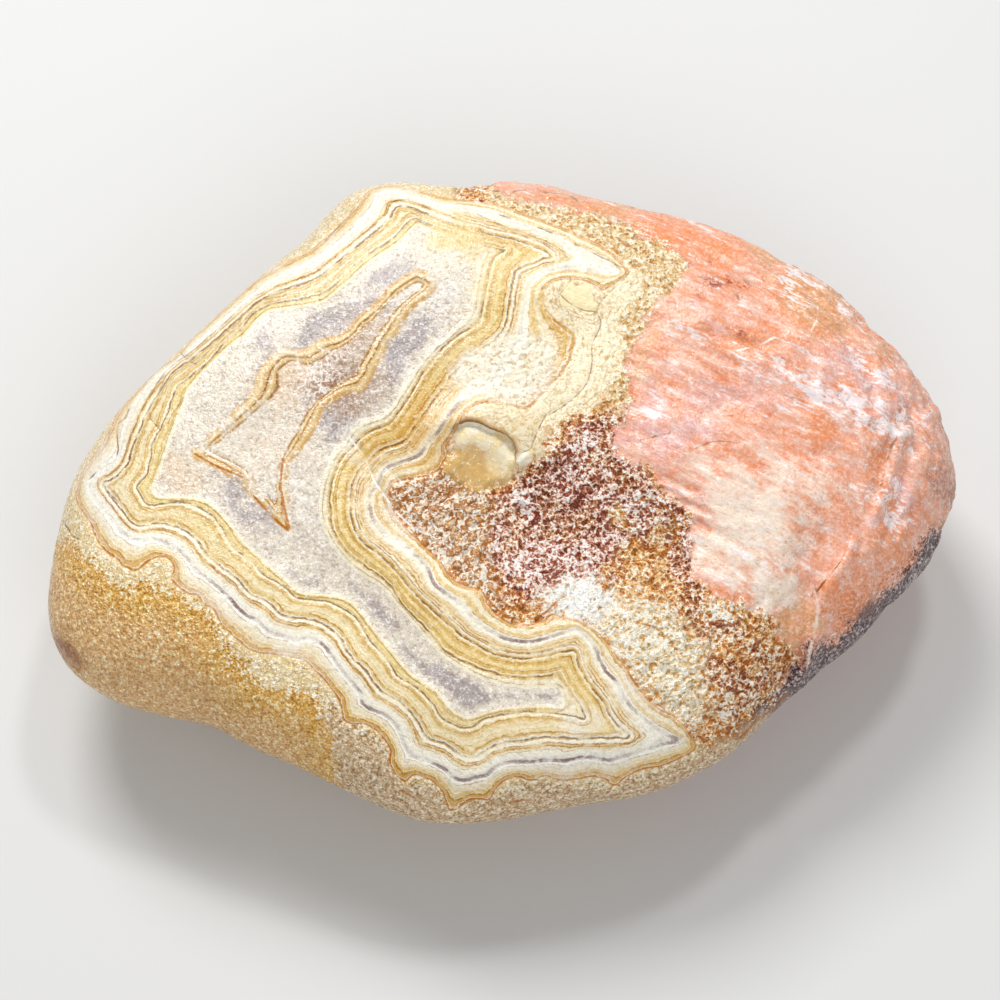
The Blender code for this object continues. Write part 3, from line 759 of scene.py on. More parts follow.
def reliefHeights(spots, fields):
    # how far each point rises from the plain stone, in millimetres
    facing = easeIn(fields["facing"], -0.1, 0.15)
    inBands = easeIn(-fields["husk"], -1, 3)
    outside = 1 - inBands
    jasper = easeIn(-fields["jasper"], -3, 5)
    sandy = easeIn(-fields["sandyRind"], -3, 5) * outside
    rise = relief["worn"] * noiseAt(spots, relief["wornSpacing"], 3.0)
    rise += 0.5 * relief["worn"] * noiseAt(spots, relief["wornSpacing"] / 3, 8.0)
    rise += relief["bandSteps"] * np.interp(fields["phase"], *zip(*bandSteps)) * facing
    red = easeIn(-fields["redCrystals"], -6, 6) * outside * (1 - jasper)
    sugar = easeIn(-fields["sugar"], -3, 5) * outside
    smooth = np.maximum(easeIn(-fields["creamField"], -2, 4), easeIn(-fields["dimple"], -2, 4))
    bare = outside * (1 - jasper) * (1 - sandy) * (1 - sugar) * (1 - red) * easeIn(fields["huskRim"], 0, 8)
    bare = bare * (1 - smooth) * easeIn(fields["side"], -2, 4)
    zones = [
        ("crystals", "crystalSize", red * (1 - smooth)),
        ("sugar", "sugarSize", sugar),
        ("cells", "cellSize", easeIn(-fields["honeycomb"], -3, 5) * outside * (1 - smooth)),
        ("frost", "frostSize", easeIn(-fields["speckled"], -4, 6)),
        ("frost", "frostSize", fields["frostTint"]),
        ("sugar", "sugarSize", easeIn(-fields["whiteGranular"], -3, 5)),
        ("rust", "rustSize", bare),
    ]
    grain = np.zeros((len(spots), 2))
    grain[:, 1] = 1
    for number, (amount, size, weight) in enumerate(zones):
        weight = weight * facing
        where = weight > 0.02
        height, edge = crystalRelief(spots, where, relief[size], 10.0 * number)
        rise += relief[amount] * weight * (0.65 * height + 0.35 * edge - 0.5)
        own = np.stack([height, edge], axis=1)
        grain = np.where(where[:, None], grain + (own - grain) * weight[:, None], grain)
    fields["grainTall"], fields["grainEdge"] = grain.T
    hollow = np.maximum(red, bare) * facing
    rise -= relief["hollows"] * hollow * np.maximum(0, noiseAt(spots, relief["hollowSpacing"], 44.0)) * 1.6
    rise += relief["sand"] * sandy * noiseAt(spots, relief["sandSize"], 5.0)
    folds = streakNoise(spots, 21.0) + 0.45 * streakNoise(spots * 2.3, 25.0)
    folded = 0.25 + 0.75 * fields["foldTint"]
    rise += relief["folds"] * jasper * facing * folded * (0.6 - np.abs(folds) * 2.6)
    spacing = relief["leatherSpacing"]
    leather = noiseAt(spots, spacing, 61.0) + 0.5 * noiseAt(spots, spacing / 2, 66.0)
    rise += relief["leather"] * jasper * facing * (0.3 - np.abs(leather))
    rise -= relief["fault"] * facing * np.exp(-(fields["paleDistance"] / 3) ** 2) * (1 - jasper)
    rise -= relief["cracks"] * facing * np.exp(-(fields["darkDistance"] / 2.2) ** 2)
    rise -= relief["pits"] * facing * fields["pitsTint"] * np.maximum(0, noiseAt(spots, 0.45, 4.0) + 0.25)
    for name, (height, reach, points) in lips.items():
        near = np.exp(-(fields[name] / reach) ** 2)
        rise += height * facing * near * (easeIn(fields[name], -1.5, 1.5) - 0.5) * 2
    rise += relief["dimpleFloor"] * facing * easeIn(-fields["dimple"], 0, 12)
    pillows = np.abs(noiseAt(spots, relief["pillowSpacing"], 92.0))
    rise += relief["pillows"] * jasper * facing * (np.sqrt(pillows) - 0.45)
    ring = easeIn(-fields["ringOuter"], -1, 2) * easeIn(fields["ringInner"], -1, 2)
    rise += relief["ringRise"] * ring
    return rise


def storeVectors(mesh, name, columns):
    attribute = mesh.attributes.new(name, "FLOAT_VECTOR", "POINT")
    attribute.data.foreach_set("vector", np.stack(columns, axis=1).astype(np.float32).ravel())


def makeStone(node):
    mesh = fineMesh(node)
    print("mesh divided:", len(mesh.vertices), "points", len(mesh.polygons), "faces")
    spots, normals = meshArrays(mesh)
    fields = surfaceFields(spots, normals)
    print("bands and patches placed")
    shaped = spots + normals * reliefHeights(spots, fields)[:, None]
    low, high = np.array(cadLow) / millimetre, np.array(cadHigh) / millimetre
    mesh.vertices.foreach_set("co", (np.clip(shaped, low, high) * millimetre).ravel())
    print("relief raised")
    for start in range(0, len(storedFields), 3):
        columns = [fields[name] for name in storedFields[start:start + 3]]
        columns += [np.zeros(len(spots))] * (3 - len(columns))
        storeVectors(mesh, "fields%d" % (start // 3), columns)
    for name in ("dark", "pale", "rusty"):
        storeVectors(mesh, name, list(fields[name].T))
    mesh.update()
    mesh.shade_smooth()
    stone = bpy.data.objects.new("agateStone", mesh)
    bpy.context.scene.collection.objects.link(stone)
    return stone


def srgb(*color):
    # the linear colour, with its alpha, of one given from 0 to 255
    parts = [part / 255 for part in color]
    linear = [part / 12.92 if part <= 0.04045 else ((part + 0.055) / 1.055) ** 2.4 for part in parts]
    return (*linear, 1.0)


# Node helpers: a value may be a number, a colour or another node's output
def feed(tree, socket, value):
    if isinstance(value, bpy.types.NodeSocket):
        tree.links.new(value, socket)
    else:
        socket.default_value = value


def calc(tree, operation, *values, clamp=False):
    node = tree.nodes.new("ShaderNodeMath")
    node.operation = operation
    node.use_clamp = clamp
    for socket, value in zip(node.inputs, values):
        feed(tree, socket, value)
    return node.outputs["Value"]


def swayed(tree, value, noiseValue, amount):
    # moves a value up and down with a noise that is about 0.5 in the middle
    return calc(tree, "MULTIPLY_ADD", calc(tree, "SUBTRACT", noiseValue, 0.5), amount, value)


def product(tree, first, *others):
    for other in others:
        first = calc(tree, "MULTIPLY", first, other)
    return first


def step(tree, value, start, end, low=0.0, high=1.0, kind="SMOOTHSTEP"):
    # goes from low to high as the value goes from start to end
    node = tree.nodes.new("ShaderNodeMapRange")
    node.interpolation_type = kind
    for name, given in (("Value", value), ("From Min", start), ("From Max", end), ("To Min", low),
                        ("To Max", high)):
        feed(tree, node.inputs[name], given)
    return node.outputs["Result"]


def blend(tree, factor, under, over, kind="MIX"):
    node = tree.nodes.new("ShaderNodeMix")
    node.data_type = "RGBA"
    node.blend_type = kind
    node.clamp_factor = True
    for index, given in ((0, factor), (6, under), (7, over)):
        if isinstance(given, tuple) and len(given) == 3:
            given = srgb(*given)
        feed(tree, node.inputs[index], given)
    return node.outputs[2]


def ramp(tree, factor, stops, low=0.0, high=1.0):
    # a colour ramp whose places run from low to high
    node = tree.nodes.new("ShaderNodeValToRGB")
    elements = node.color_ramp.elements
    while len(elements) < len(stops):
        elements.new(0.5)
    for element, (place, color) in zip(elements, stops):
        element.position = (place - low) / (high - low)
        element.color = srgb(*color)
    feed(tree, node.inputs["Fac"], step(tree, factor, low, high, kind="LINEAR"))
    return node.outputs["Color"]


def cloud(tree, place, scale, detail, roughness):
    node = tree.nodes.new("ShaderNodeTexNoise")
    for name, given in (("Vector", place), ("Scale", scale), ("Detail", detail), ("Roughness", roughness)):
        feed(tree, node.inputs[name], given)
    return node.outputs["Fac"]


def attributeVector(tree, name):
    node = tree.nodes.new("ShaderNodeAttribute")
    node.attribute_name = name
    return node.outputs["Vector"]


def readFields(tree):
    # one output for each of the mesh's stored fields
    fields = {}
    for start in range(0, len(storedFields), 3):
        split = tree.nodes.new("ShaderNodeSeparateXYZ")
        tree.links.new(attributeVector(tree, "fields%d" % (start // 3)), split.inputs[0])
        fields.update(zip(storedFields[start:start + 3], (split.outputs[axis] for axis in "XYZ")))
    return fields


def placeGroup(tree, group, **values):
    node = tree.nodes.new("ShaderNodeGroup")
    node.node_tree = group
    for name, value in values.items():
        feed(tree, node.inputs[name], value)
    return node.outputs


def newGroup(name, inputs, outputs):
    group = bpy.data.node_groups.new(name, "ShaderNodeTree")
    for label, kind in inputs.items():
        group.interface.new_socket(name=label, in_out="INPUT", socket_type="NodeSocket" + kind)
    for label, kind in outputs.items():
        group.interface.new_socket(name=label, in_out="OUTPUT", socket_type="NodeSocket" + kind)
    return group, group.nodes.new("NodeGroupInput").outputs, group.nodes.new("NodeGroupOutput").inputs


# How each patch of the surface ends: raggedness, softness and graininess, in pixels
patchEdges = {
    "redCrystals": (40.0, 10.0, 26.0),
    "creamSwirl": (40.0, 9.0, 26.0),
    "whiteGranular": (24.0, 6.0, 22.0),
    "honeycomb": (24.0, 6.0, 14.0),
    "sugar": (24.0, 5.0, 16.0),
    "creamField": (24.0, 4.0, 8.0),
    "dimple": (7.0, 5.0, 0.0),
    "eye": (1.0, 1.0, 0.0),
    "huskRim": (16.0, 6.0, 14.0),
    "sandyRind": (16.0, 5.0, 14.0),
    "jasper": (24.0, 3.0, 9.0),
    "greyHusk": (16.0, 5.0, 10.0),
}


def makePatchGroup():
    # inside an outline, with a ragged edge
    group, given, made = newGroup(
        "raggedPatch", {"Distance": "Float", "Wander": "Float", "Ragged": "Float", "Soft": "Float"},
        {"Mask": "Float"})
    moved = calc(group, "MULTIPLY_ADD", given["Wander"], given["Ragged"], given["Distance"])
    mask = step(group, moved, given["Soft"], calc(group, "MULTIPLY", given["Soft"], -1.0))
    group.links.new(mask, made["Mask"])
    return group


def makeMarkGroup():
    # a traced mark of a given width in pixels, faint here and there
    group, given, made = newGroup(
        "tracedMark", {"Wound": "Vector", "Width": "Float", "Fade": "Float"}, {"Mask": "Float"})
    split = group.nodes.new("ShaderNodeSeparateXYZ")
    group.links.new(given["Wound"], split.inputs[0])
    turn = calc(group, "ABSOLUTE", calc(group, "ARCTAN2", split.outputs["Y"], split.outputs["X"]))
    distance = calc(group, "MULTIPLY", turn, lineReach / math.pi)
    width = product(group, given["Width"], given["Fade"])
    mask = step(group, distance, calc(group, "ADD", width, 0.6), calc(group, "SUBTRACT", width, 0.6))
    group.links.new(product(group, mask, split.outputs["Z"], given["Fade"]), made["Mask"])
    return group


# Noises that the stone's parts share: scale per millimetre, detail and roughness
noises = {
    "mottle": (0.55, 3.0, 0.7),
    "speck": (2.6, 3.0, 0.7),
    "wander": (1.4, 3.0, 0.6),
    "fade": (0.7, 3.0, 0.6),
    "fleck": (5.5, 1.0, 0.5),
    "ridge": (1.5, 2.0, 0.6),
    "streak": (1.3, 3.0, 0.6),
    "dash": (5.0, 2.0, 0.6),
}
streakLength = 4.5          # how many times longer than wide streaks and dashes are


def makeClouds(tree, place, fields):
    # each is about 0.5 in the middle, apart from wander, which is about 0
    turned = tree.nodes.new("ShaderNodeMapping")
    turned.vector_type = "TEXTURE"
    turned.inputs["Rotation"].default_value = (0, 0, math.radians(-relief["foldTurn"]))
    turned.inputs["Scale"].default_value = (streakLength, 1.0, 1.0)
    tree.links.new(place, turned.inputs["Vector"])
    clouds = {}
    for name, (scale, detail, roughness) in noises.items():
        where = turned.outputs[0] if name in ("streak", "dash") else place
        clouds[name] = cloud(tree, where, scale, detail, roughness)
    clouds["wander"] = calc(tree, "SUBTRACT", clouds["wander"], 0.5)
    ridge = calc(tree, "ABSOLUTE", calc(tree, "SUBTRACT", clouds["ridge"], 0.5))
    clouds["worm"] = calc(tree, "MULTIPLY_ADD", ridge, -7.0, 1.0, clamp=True)
    grit = swayed(tree, 0.5, clouds["speck"], 2.6)
    grit = swayed(tree, grit, clouds["fleck"], 1.5)
    clouds["grit"] = grit
    # grain peaks along the worm ridges; the crystal ramps draw them near white, partly as painted highlights
    # on crystal edges
    crystal = calc(tree, "MULTIPLY_ADD", clouds["worm"], 0.55, product(tree, grit, 0.5))
    facet = calc(tree, "SUBTRACT", fields["grainTall"], 0.6)
    clouds["grain"] = calc(tree, "MULTIPLY_ADD", facet, 0.3, crystal)
    # white specks at the grit's peaks: partly tiny white crystals, partly painted glints
    clouds["white"] = step(tree, grit, 0.68, 0.95)
    clouds["dark"] = step(tree, grit, 0.32, 0.05)
    return clouds


bandLook = {
    "left": [
        (-0.1, (248, 242, 228)), (0.12, (246, 234, 200)), (0.33, (240, 220, 164)), (0.4, (206, 168, 104)),
        (0.48, (242, 222, 168)), (0.75, (238, 212, 152)), (1.05, (247, 232, 190)), (1.28, (228, 196, 132)),
        (1.55, (246, 232, 194)), (1.85, (232, 202, 140)), (2.12, (251, 243, 216)), (2.38, (226, 190, 124)),
        (2.55, (250, 242, 218)), (2.88, (249, 243, 228)), (3.15, (252, 248, 236)), (3.4, (246, 232, 198)),
        (3.65, (234, 202, 140)), (3.88, (220, 174, 104)), (4.0, (196, 138, 72)), (4.15, (232, 202, 150)),
    ],
    "right": [
        (-0.1, (248, 243, 230)), (0.2, (243, 230, 196)), (0.55, (246, 238, 212)), (0.92, (222, 190, 126)),
        (1.08, (240, 216, 156)), (1.3, (218, 182, 112)), (1.5, (242, 220, 162)), (1.7, (222, 186, 120)),
        (1.9, (242, 220, 164)), (2.05, (226, 192, 130)), (2.3, (248, 234, 200)), (2.55, (228, 196, 136)),
        (2.8, (251, 244, 224)), (3.15, (250, 243, 224)), (3.35, (228, 194, 130)), (3.6, (247, 236, 204)),
        (3.85, (220, 176, 106)), (4.0, (196, 140, 74)), (4.15, (232, 202, 150)),
    ],
    "thinLine": (174, 122, 46), "paleLine": (255, 253, 244),
    "dark": (112, 66, 8), "brown": (150, 94, 20), "purple": (140, 116, 112), "orange": (186, 108, 26),
    "butter": (233, 207, 150), "amber": (228, 198, 140), "white": (253, 250, 242),
    "speckledLine": (206, 188, 154), "speckledPale": (246, 238, 220),
    "thinScale": 7.0, "thinDetail": 3.0, "thinRoughness": 0.8,
}
# The bands' main lines: loop, offset and width in pixels, colour, and how strong
mainLines = [
    ("first", 3.6, 0.35, "dark", 0.55),
    ("second", 0.0, 0.75, "dark", 0.85),
    ("second", 6.0, 0.25, "brown", 0.5),
    ("third", 0.0, 0.8, "dark", 0.8),
    ("third", 5.6, 0.6, "brown", 0.75),
    ("third", -5.0, 0.25, "brown", 0.5),
]


def lineAt(tree, distance, offset, width, clouds):
    # a line that follows a loop at an offset in pixels, and fades here and there
    away = calc(tree, "MULTIPLY_ADD", clouds["wander"], 4.0, calc(tree, "SUBTRACT", distance, offset))
    mask = step(tree, calc(tree, "ABSOLUTE", away), width + 0.8, max(0.0, width - 0.6))
    return product(tree, mask, step(tree, clouds["fade"], 0.38, 0.54, 0.25, 1.0))


heartLook = {
    "pale": (230, 219, 202), "grey": (176, 165, 162), "blush": (230, 200, 166),
    "umber": (158, 120, 92), "white": (254, 252, 248), "fleck": (128, 104, 90),
}


def heartColor(tree, fields, clouds):
    # grey chalcedony, paler towards its edge
    look = heartLook
    core = product(tree, step(tree, fields["first"], -3.0, -13.0), fields["ashTint"])
    grey = swayed(tree, core, clouds["mottle"], 1.4)
    grey = step(tree, swayed(tree, grey, clouds["grit"], -0.2), -0.1, 0.9)
    color = blend(tree, grey, look["pale"], look["grey"])
    color = blend(tree, product(tree, fields["blushTint"], 0.8), color, look["blush"])
    color = blend(tree, product(tree, fields["umberTint"], 0.9), color, look["umber"])
    color = blend(tree, product(tree, clouds["dark"], 0.22), color, look["fleck"])
    icy = product(tree, fields["frostTint"], step(tree, clouds["worm"], 0.45, 0.8))
    # specks at the grit's peaks: partly tiny white crystals, partly painted glints
    icy = calc(tree, "MAXIMUM", icy, product(tree, step(tree, clouds["grit"], 0.6, 0.95), 0.34))
    return blend(tree, icy, color, look["white"])


def bandColor(tree, fields, clouds):
    look = bandLook
    moved = calc(tree, "MULTIPLY_ADD", clouds["wander"], 0.30, fields["phase"])
    color = blend(tree, step(tree, fields["side"], -3.0, 3.0), ramp(tree, moved, look["left"], -0.5, 4.5),
                  ramp(tree, moved, look["right"], -0.5, 4.5))
    fine = tree.nodes.new("ShaderNodeTexNoise")
    fine.noise_dimensions = "1D"
    feed(tree, fine.inputs["W"], moved)
    for name in ("Scale", "Detail", "Roughness"):
        fine.inputs[name].default_value = look["thin" + name]
    thin = product(tree, step(tree, fine.outputs["Fac"], 0.43, 0.34), step(tree, clouds["fade"], 0.38, 0.54))
    color = blend(tree, product(tree, thin, 0.85), color, look["thinLine"])
    color = blend(tree, step(tree, fine.outputs["Fac"], 0.56, 0.66, 0.0, 0.7), color, look["paleLine"])
    color = blend(tree, product(tree, fields["amberTint"], 0.8), color, look["amber"], "MULTIPLY")
    # white patches, and along the left and top rims painted highlights
    color = blend(tree, product(tree, fields["whiteTint"], 0.75), color, look["white"])
    inHeart = step(tree, fields["first"], 0.5, -2.5)
    color = blend(tree, inHeart, color, heartColor(tree, fields, clouds))
    for loop, offset, width, name, strength in mainLines:
        mask = lineAt(tree, fields[loop], offset, width, clouds)
        color = blend(tree, product(tree, mask, strength), color, look[name])
    mask = lineAt(tree, fields["fourth"], 0.0, 1.7, clouds)
    color = blend(tree, product(tree, mask, fields["purpleTint"]), color, look["purple"])
    worms = step(tree, calc(tree, "MULTIPLY_ADD", clouds["grit"], 0.7, clouds["worm"]), 0.2, 0.8)
    worms = blend(tree, worms, look["speckledLine"], look["speckledPale"])
    color = blend(tree, step(tree, fields["speckled"], 8.0, -10.0, 0.0, 0.75), color, worms)
    color = blend(tree, fields["butterTint"], color, look["butter"])
    # white specks, partly painted glints
    color = blend(tree, product(tree, clouds["white"], 0.3), color, look["white"])
    color = blend(tree, product(tree, clouds["dark"], 0.14), color, look["brown"])
    mask = lineAt(tree, fields["husk"], 0.0, 1.3, clouds)
    color = blend(tree, product(tree, mask, fields["huskBrownTint"]), color, look["orange"])
    return color


ringLook = {
    "ochre": (206, 166, 104), "light": (238, 214, 168), "edge": (122, 72, 20),
    "orange": (210, 168, 108), "rim": (204, 164, 110), "white": (254, 250, 240),
}


def ringColor(tree, color, fields, clouds):
    # the ochre strip that loops through the heart, with dark broken edges
    look = ringLook
    outer = calc(tree, "MULTIPLY_ADD", clouds["wander"], 4.0, fields["ringOuter"])
    inner = calc(tree, "MULTIPLY_ADD", clouds["wander"], 4.0, fields["ringInner"])
    share = calc(tree, "DIVIDE", calc(tree, "ADD", inner, 3.5),
                 calc(tree, "MAXIMUM", calc(tree, "SUBTRACT", fields["ringInner"], fields["ringOuter"]), 2.0))
    strip = ramp(tree, share, [(0.0, look["rim"]), (0.14, look["edge"]), (0.22, look["ochre"]),
                               (0.42, look["light"]), (0.58, look["ochre"]), (0.66, look["edge"]),
                               (0.76, look["ochre"]), (1.05, look["light"]), (1.5, look["orange"])], 0.0, 1.6)
    uneven = product(tree, calc(tree, "SUBTRACT", clouds["fade"], 0.5), 2.6)
    faded = step(tree, calc(tree, "ADD", fields["ochreTint"], uneven), 0.1, 0.7, 0.12, 0.95)
    mask = product(tree, step(tree, outer, 4.0, 1.0), step(tree, inner, -5.0, -2.6))
    color = blend(tree, product(tree, mask, faded), color, strip)
    # white specks in the strip, partly painted glints
    return blend(tree, product(tree, mask, clouds["white"], 0.6), color, look["white"])


# Ramps from the dark gaps between crystals up to near white. On the rust, ember, red and glow ramps the
# near-white top is partly pale crystal and partly painted highlights on crystal edges.
crystalLook = {
    "rust": [(0.1, (138, 72, 34)), (0.3, (188, 116, 66)), (0.5, (216, 156, 100)), (0.66, (240, 202, 152)),
             (0.82, (255, 250, 238))],
    "ember": [(0.1, (96, 44, 24)), (0.34, (146, 80, 50)), (0.52, (188, 126, 90)), (0.68, (232, 198, 166)),
              (0.84, (254, 246, 234))],
    "red": [(0.1, (92, 36, 26)), (0.34, (142, 70, 50)), (0.5, (190, 132, 108)), (0.64, (234, 206, 192)),
            (0.8, (255, 250, 246))],
    "glow": [(0.1, (142, 80, 36)), (0.3, (194, 132, 74)), (0.5, (216, 162, 106)), (0.68, (238, 204, 154)),
             (0.86, (254, 248, 230))],
    "sugar": [(0.1, (182, 130, 82)), (0.26, (214, 170, 118)), (0.44, (230, 197, 146)),
              (0.62, (242, 220, 178)), (0.84, (254, 248, 232))],
    "granular": [(0.1, (178, 144, 112)), (0.28, (226, 210, 186)), (0.46, (248, 243, 232)),
                 (0.8, (255, 254, 250))],
    "swirl": [(0.1, (196, 142, 88)), (0.26, (230, 198, 148)), (0.46, (243, 226, 192)),
              (0.72, (253, 248, 234))],
    # the cells' near-white rim colour is partly their white network and partly painted highlights on their
    # edges
    "cell": (220, 172, 116), "cellDeep": (172, 112, 64), "cellNetAndHighlight": (255, 248, 232),
    "field": (246, 234, 204), "fieldDark": (230, 204, 158),
    "dimple": (250, 230, 184), "dimplePale": (255, 250, 232),
    # the lip colour is a painted shadow line along the ledge's edge; the colour after it is painted shade on
    # the ledge's underside
    "dimpleDeep": (216, 180, 124), "lip": (120, 72, 22), "paintedShadeUnderLip": (186, 132, 62),
    "eye": (246, 230, 188), "eyeRing": (168, 122, 66),
}


def crystalColor(tree, fields, clouds, patch):
    # the rusty and crystal-lined hollow between the bands and the pink end
    look = crystalLook
    grain = calc(tree, "MULTIPLY_ADD", fields["snowTint"], 0.22, clouds["grain"])
    uneven = calc(tree, "SUBTRACT", clouds["mottle"], 0.5)
    color = ramp(tree, grain, look["rust"])
    color = blend(tree, patch("redCrystals"), color, ramp(tree, grain, look["red"]))
    embers = step(tree, calc(tree, "MULTIPLY_ADD", uneven, 2.4, fields["emberTint"]), 0.35, 0.85)
    color = blend(tree, embers, color, ramp(tree, grain, look["ember"]))
    glowing = step(tree, calc(tree, "MULTIPLY_ADD", uneven, -1.6, fields["glowTint"]), 0.15, 0.7)
    color = blend(tree, glowing, color, ramp(tree, grain, look["glow"]))
    color = blend(tree, patch("creamSwirl"), color, ramp(tree, grain, look["swirl"]))
    color = blend(tree, patch("whiteGranular"), color, ramp(tree, grain, look["granular"]))
    # The cells' near-white tops and rims are partly their white network and partly painted highlights on
    # their edges
    cells = blend(tree, step(tree, fields["grainTall"], 0.45, 0.85), look["cellDeep"], look["cell"])
    cells = blend(tree, step(tree, clouds["grain"], 0.55, 0.8, 0.0, 0.55), cells, look["cellNetAndHighlight"])
    rim = step(tree, calc(tree, "MULTIPLY_ADD", clouds["grit"], -0.25, fields["grainEdge"]), 0.22, 0.04)
    cells = blend(tree, product(tree, rim, 0.85), cells, look["cellNetAndHighlight"])
    color = blend(tree, patch("honeycomb"), color, cells)
    color = blend(tree, patch("sugar"), color, ramp(tree, grain, look["sugar"]))
    field = blend(tree, step(tree, clouds["grit"], 0.5, 0.1), look["field"], look["fieldDark"])
    field = blend(tree, product(tree, fields["amberTint"], 0.6), field, look["fieldDark"])
    for offset, width in ((-5.0, 0.3), (-10.0, 0.6), (-16.0, 0.2), (-21.0, 0.5)):
        layer = lineAt(tree, fields["creamField"], offset, width, clouds)
        field = blend(tree, product(tree, layer, 0.45), field, look["eyeRing"])
    color = blend(tree, patch("creamField"), color, field)
    hollow = blend(tree, step(tree, clouds["mottle"], 0.42, 0.58), look["dimple"], look["dimplePale"])
    deep = calc(tree, "MULTIPLY_ADD", fields["lip"], -0.012, clouds["mottle"])
    hollow = blend(tree, step(tree, deep, 0.62, 0.95), hollow, look["dimpleDeep"])
    hollow = blend(tree, step(tree, clouds["grain"], 0.62, 0.8, 0.0, 0.7), hollow, look["dimplePale"])
    color = blend(tree, patch("dimple"), color, hollow)
    # Painted shade on the ledge's underside, up to about 8 pixels from its edge, then a painted shadow line
    # along the edge
    nearLip = step(tree, fields["dimple"], 12.0, 4.0)
    under = product(tree, step(tree, fields["lip"], -0.6, 0.8), step(tree, fields["lip"], 8.0, 0.5), nearLip)
    color = blend(tree, product(tree, under, 0.85), color, look["paintedShadeUnderLip"])
    edge = step(tree, calc(tree, "ABSOLUTE", fields["lip"]), 1.5, 0.3)
    color = blend(tree, product(tree, edge, nearLip, 0.85), color, look["lip"])
    color = blend(tree, patch("eye"), color, look["eye"])
    for offset, width in ((0.5, 0.5), (5.0, 0.2), (9.0, 0.2)):
        layer = lineAt(tree, fields["eye"], offset, width, clouds)
        color = blend(tree, product(tree, layer, 0.6), color, look["eyeRing"])
    return color


jasperLook = {
    "base": [(0.34, (238, 160, 126)), (0.44, (242, 176, 148)), (0.54, (245, 192, 170)),
             (0.64, (249, 210, 194))],
    "cream": (248, 233, 215), "lilac": (238, 194, 188), "mauve": (234, 182, 172), "deep": (243, 162, 120),
    "gold": (226, 174, 128), "shine": (253, 243, 242), "pits": (142, 40, 14), "fleck": (206, 104, 76),
    "pale": (255, 238, 226), "shade": (122, 82, 76),
}


def jasperColor(tree, fields, clouds):
    look = jasperLook
    streaky = calc(tree, "MULTIPLY_ADD", clouds["streak"], 0.6, product(tree, clouds["mottle"], 0.4))
    color = ramp(tree, streaky, look["base"], 0.3, 0.7)
    rub = calc(tree, "MULTIPLY", calc(tree, "SUBTRACT", streaky, 0.5), 1.7)
    # each tint: its strength, and how the streaks break it
    for name, strength, torn in (("cream", 0.9, 1.0), ("mauve", 0.8, 1.0), ("lilac", 0.8, 1.0),
                                 ("gold", 0.75, 1.0), ("deep", 0.8, -1.0)):
        broken = calc(tree, "ADD", fields[name + "Tint"], product(tree, rub, torn))
        color = blend(tree, product(tree, step(tree, broken, 0.1, 0.75), strength), color, look[name])
    color = blend(tree, step(tree, clouds["dash"], 0.44, 0.28, 0.0, 0.4), color, look["fleck"])
    color = blend(tree, step(tree, clouds["dash"], 0.54, 0.7, 0.0, 0.38), color, look["pale"])
    color = blend(tree, step(tree, clouds["grit"], 0.5, 0.95, 0.0, 0.3), color, look["pale"])
    glossy = swayed(tree, fields["shineTint"], clouds["streak"], 2.8)
    glossy = swayed(tree, glossy, clouds["dash"], 3.0)
    color = blend(tree, step(tree, glossy, 0.4, 1.0, 0.0, 0.92), color, look["shine"])
    dusk = swayed(tree, fields["shadeTint"], clouds["grit"], -0.4)
    color = blend(tree, step(tree, dusk, 0.15, 0.9, 0.0, 0.9), color, look["shade"])
    pitted = product(tree, fields["pitsTint"], step(tree, clouds["speck"], 0.46, 0.56))
    return blend(tree, pitted, color, look["pits"])


rindLook = {
    # the near-white top of the sand ramps is partly painted glitter of light on the grains
    "sand": [(0.0, (194, 142, 92)), (0.25, (218, 172, 120)), (0.5, (232, 190, 138)), (0.78, (242, 208, 158)),
             (1.0, (255, 246, 216))],
    "goldSand": [(0.0, (186, 128, 62)), (0.25, (214, 164, 92)), (0.5, (228, 182, 110)),
                 (0.75, (241, 206, 140)), (1.0, (255, 246, 208))],
    "rusty": (146, 78, 48),
    "husk": [(0.0, (156, 116, 82)), (0.25, (198, 164, 126)), (0.5, (218, 190, 152)), (0.75, (236, 214, 182)),
             (1.0, (253, 246, 230))],
    "greyHusk": [(0.1, (40, 24, 24)), (0.4, (82, 56, 56)), (0.62, (124, 102, 104)), (0.85, (206, 196, 198))],
    "border": (236, 210, 160), "borderPale": (251, 242, 220),
    "hiddenTan": [(0.1, (146, 108, 72)), (0.4, (194, 154, 108)), (0.6, (216, 182, 136)),
                  (0.85, (240, 220, 182))],
    "hiddenPink": [(0.1, (134, 86, 70)), (0.4, (190, 134, 112)), (0.6, (216, 166, 142)),
                   (0.85, (236, 206, 188))],
}


def rindColor(tree, color, fields, clouds, patch):
    # the worn skin outside the bands on their left and lower side
    look = rindLook
    border = blend(tree, step(tree, clouds["grit"], 0.5, 0.75), look["border"], look["borderPale"])
    left = product(tree, step(tree, fields["side"], 6.0, -6.0), step(tree, fields["jasper"], 0.0, 6.0))
    color = blend(tree, left, color, border)
    color = blend(tree, patch("huskRim"), color, ramp(tree, clouds["grit"], look["husk"]))
    gold = calc(tree, "ADD", fields["sandyRind"], product(tree, clouds["mottle"], 90.0))
    plainSand, goldSand = (ramp(tree, clouds["grit"], look[name]) for name in ("sand", "goldSand"))
    sand = blend(tree, step(tree, gold, -10.0, 50.0), plainSand, goldSand)
    sand = blend(tree, product(tree, fields["umberTint"], 0.8), sand, look["rusty"])
    return blend(tree, patch("sandyRind"), color, sand)


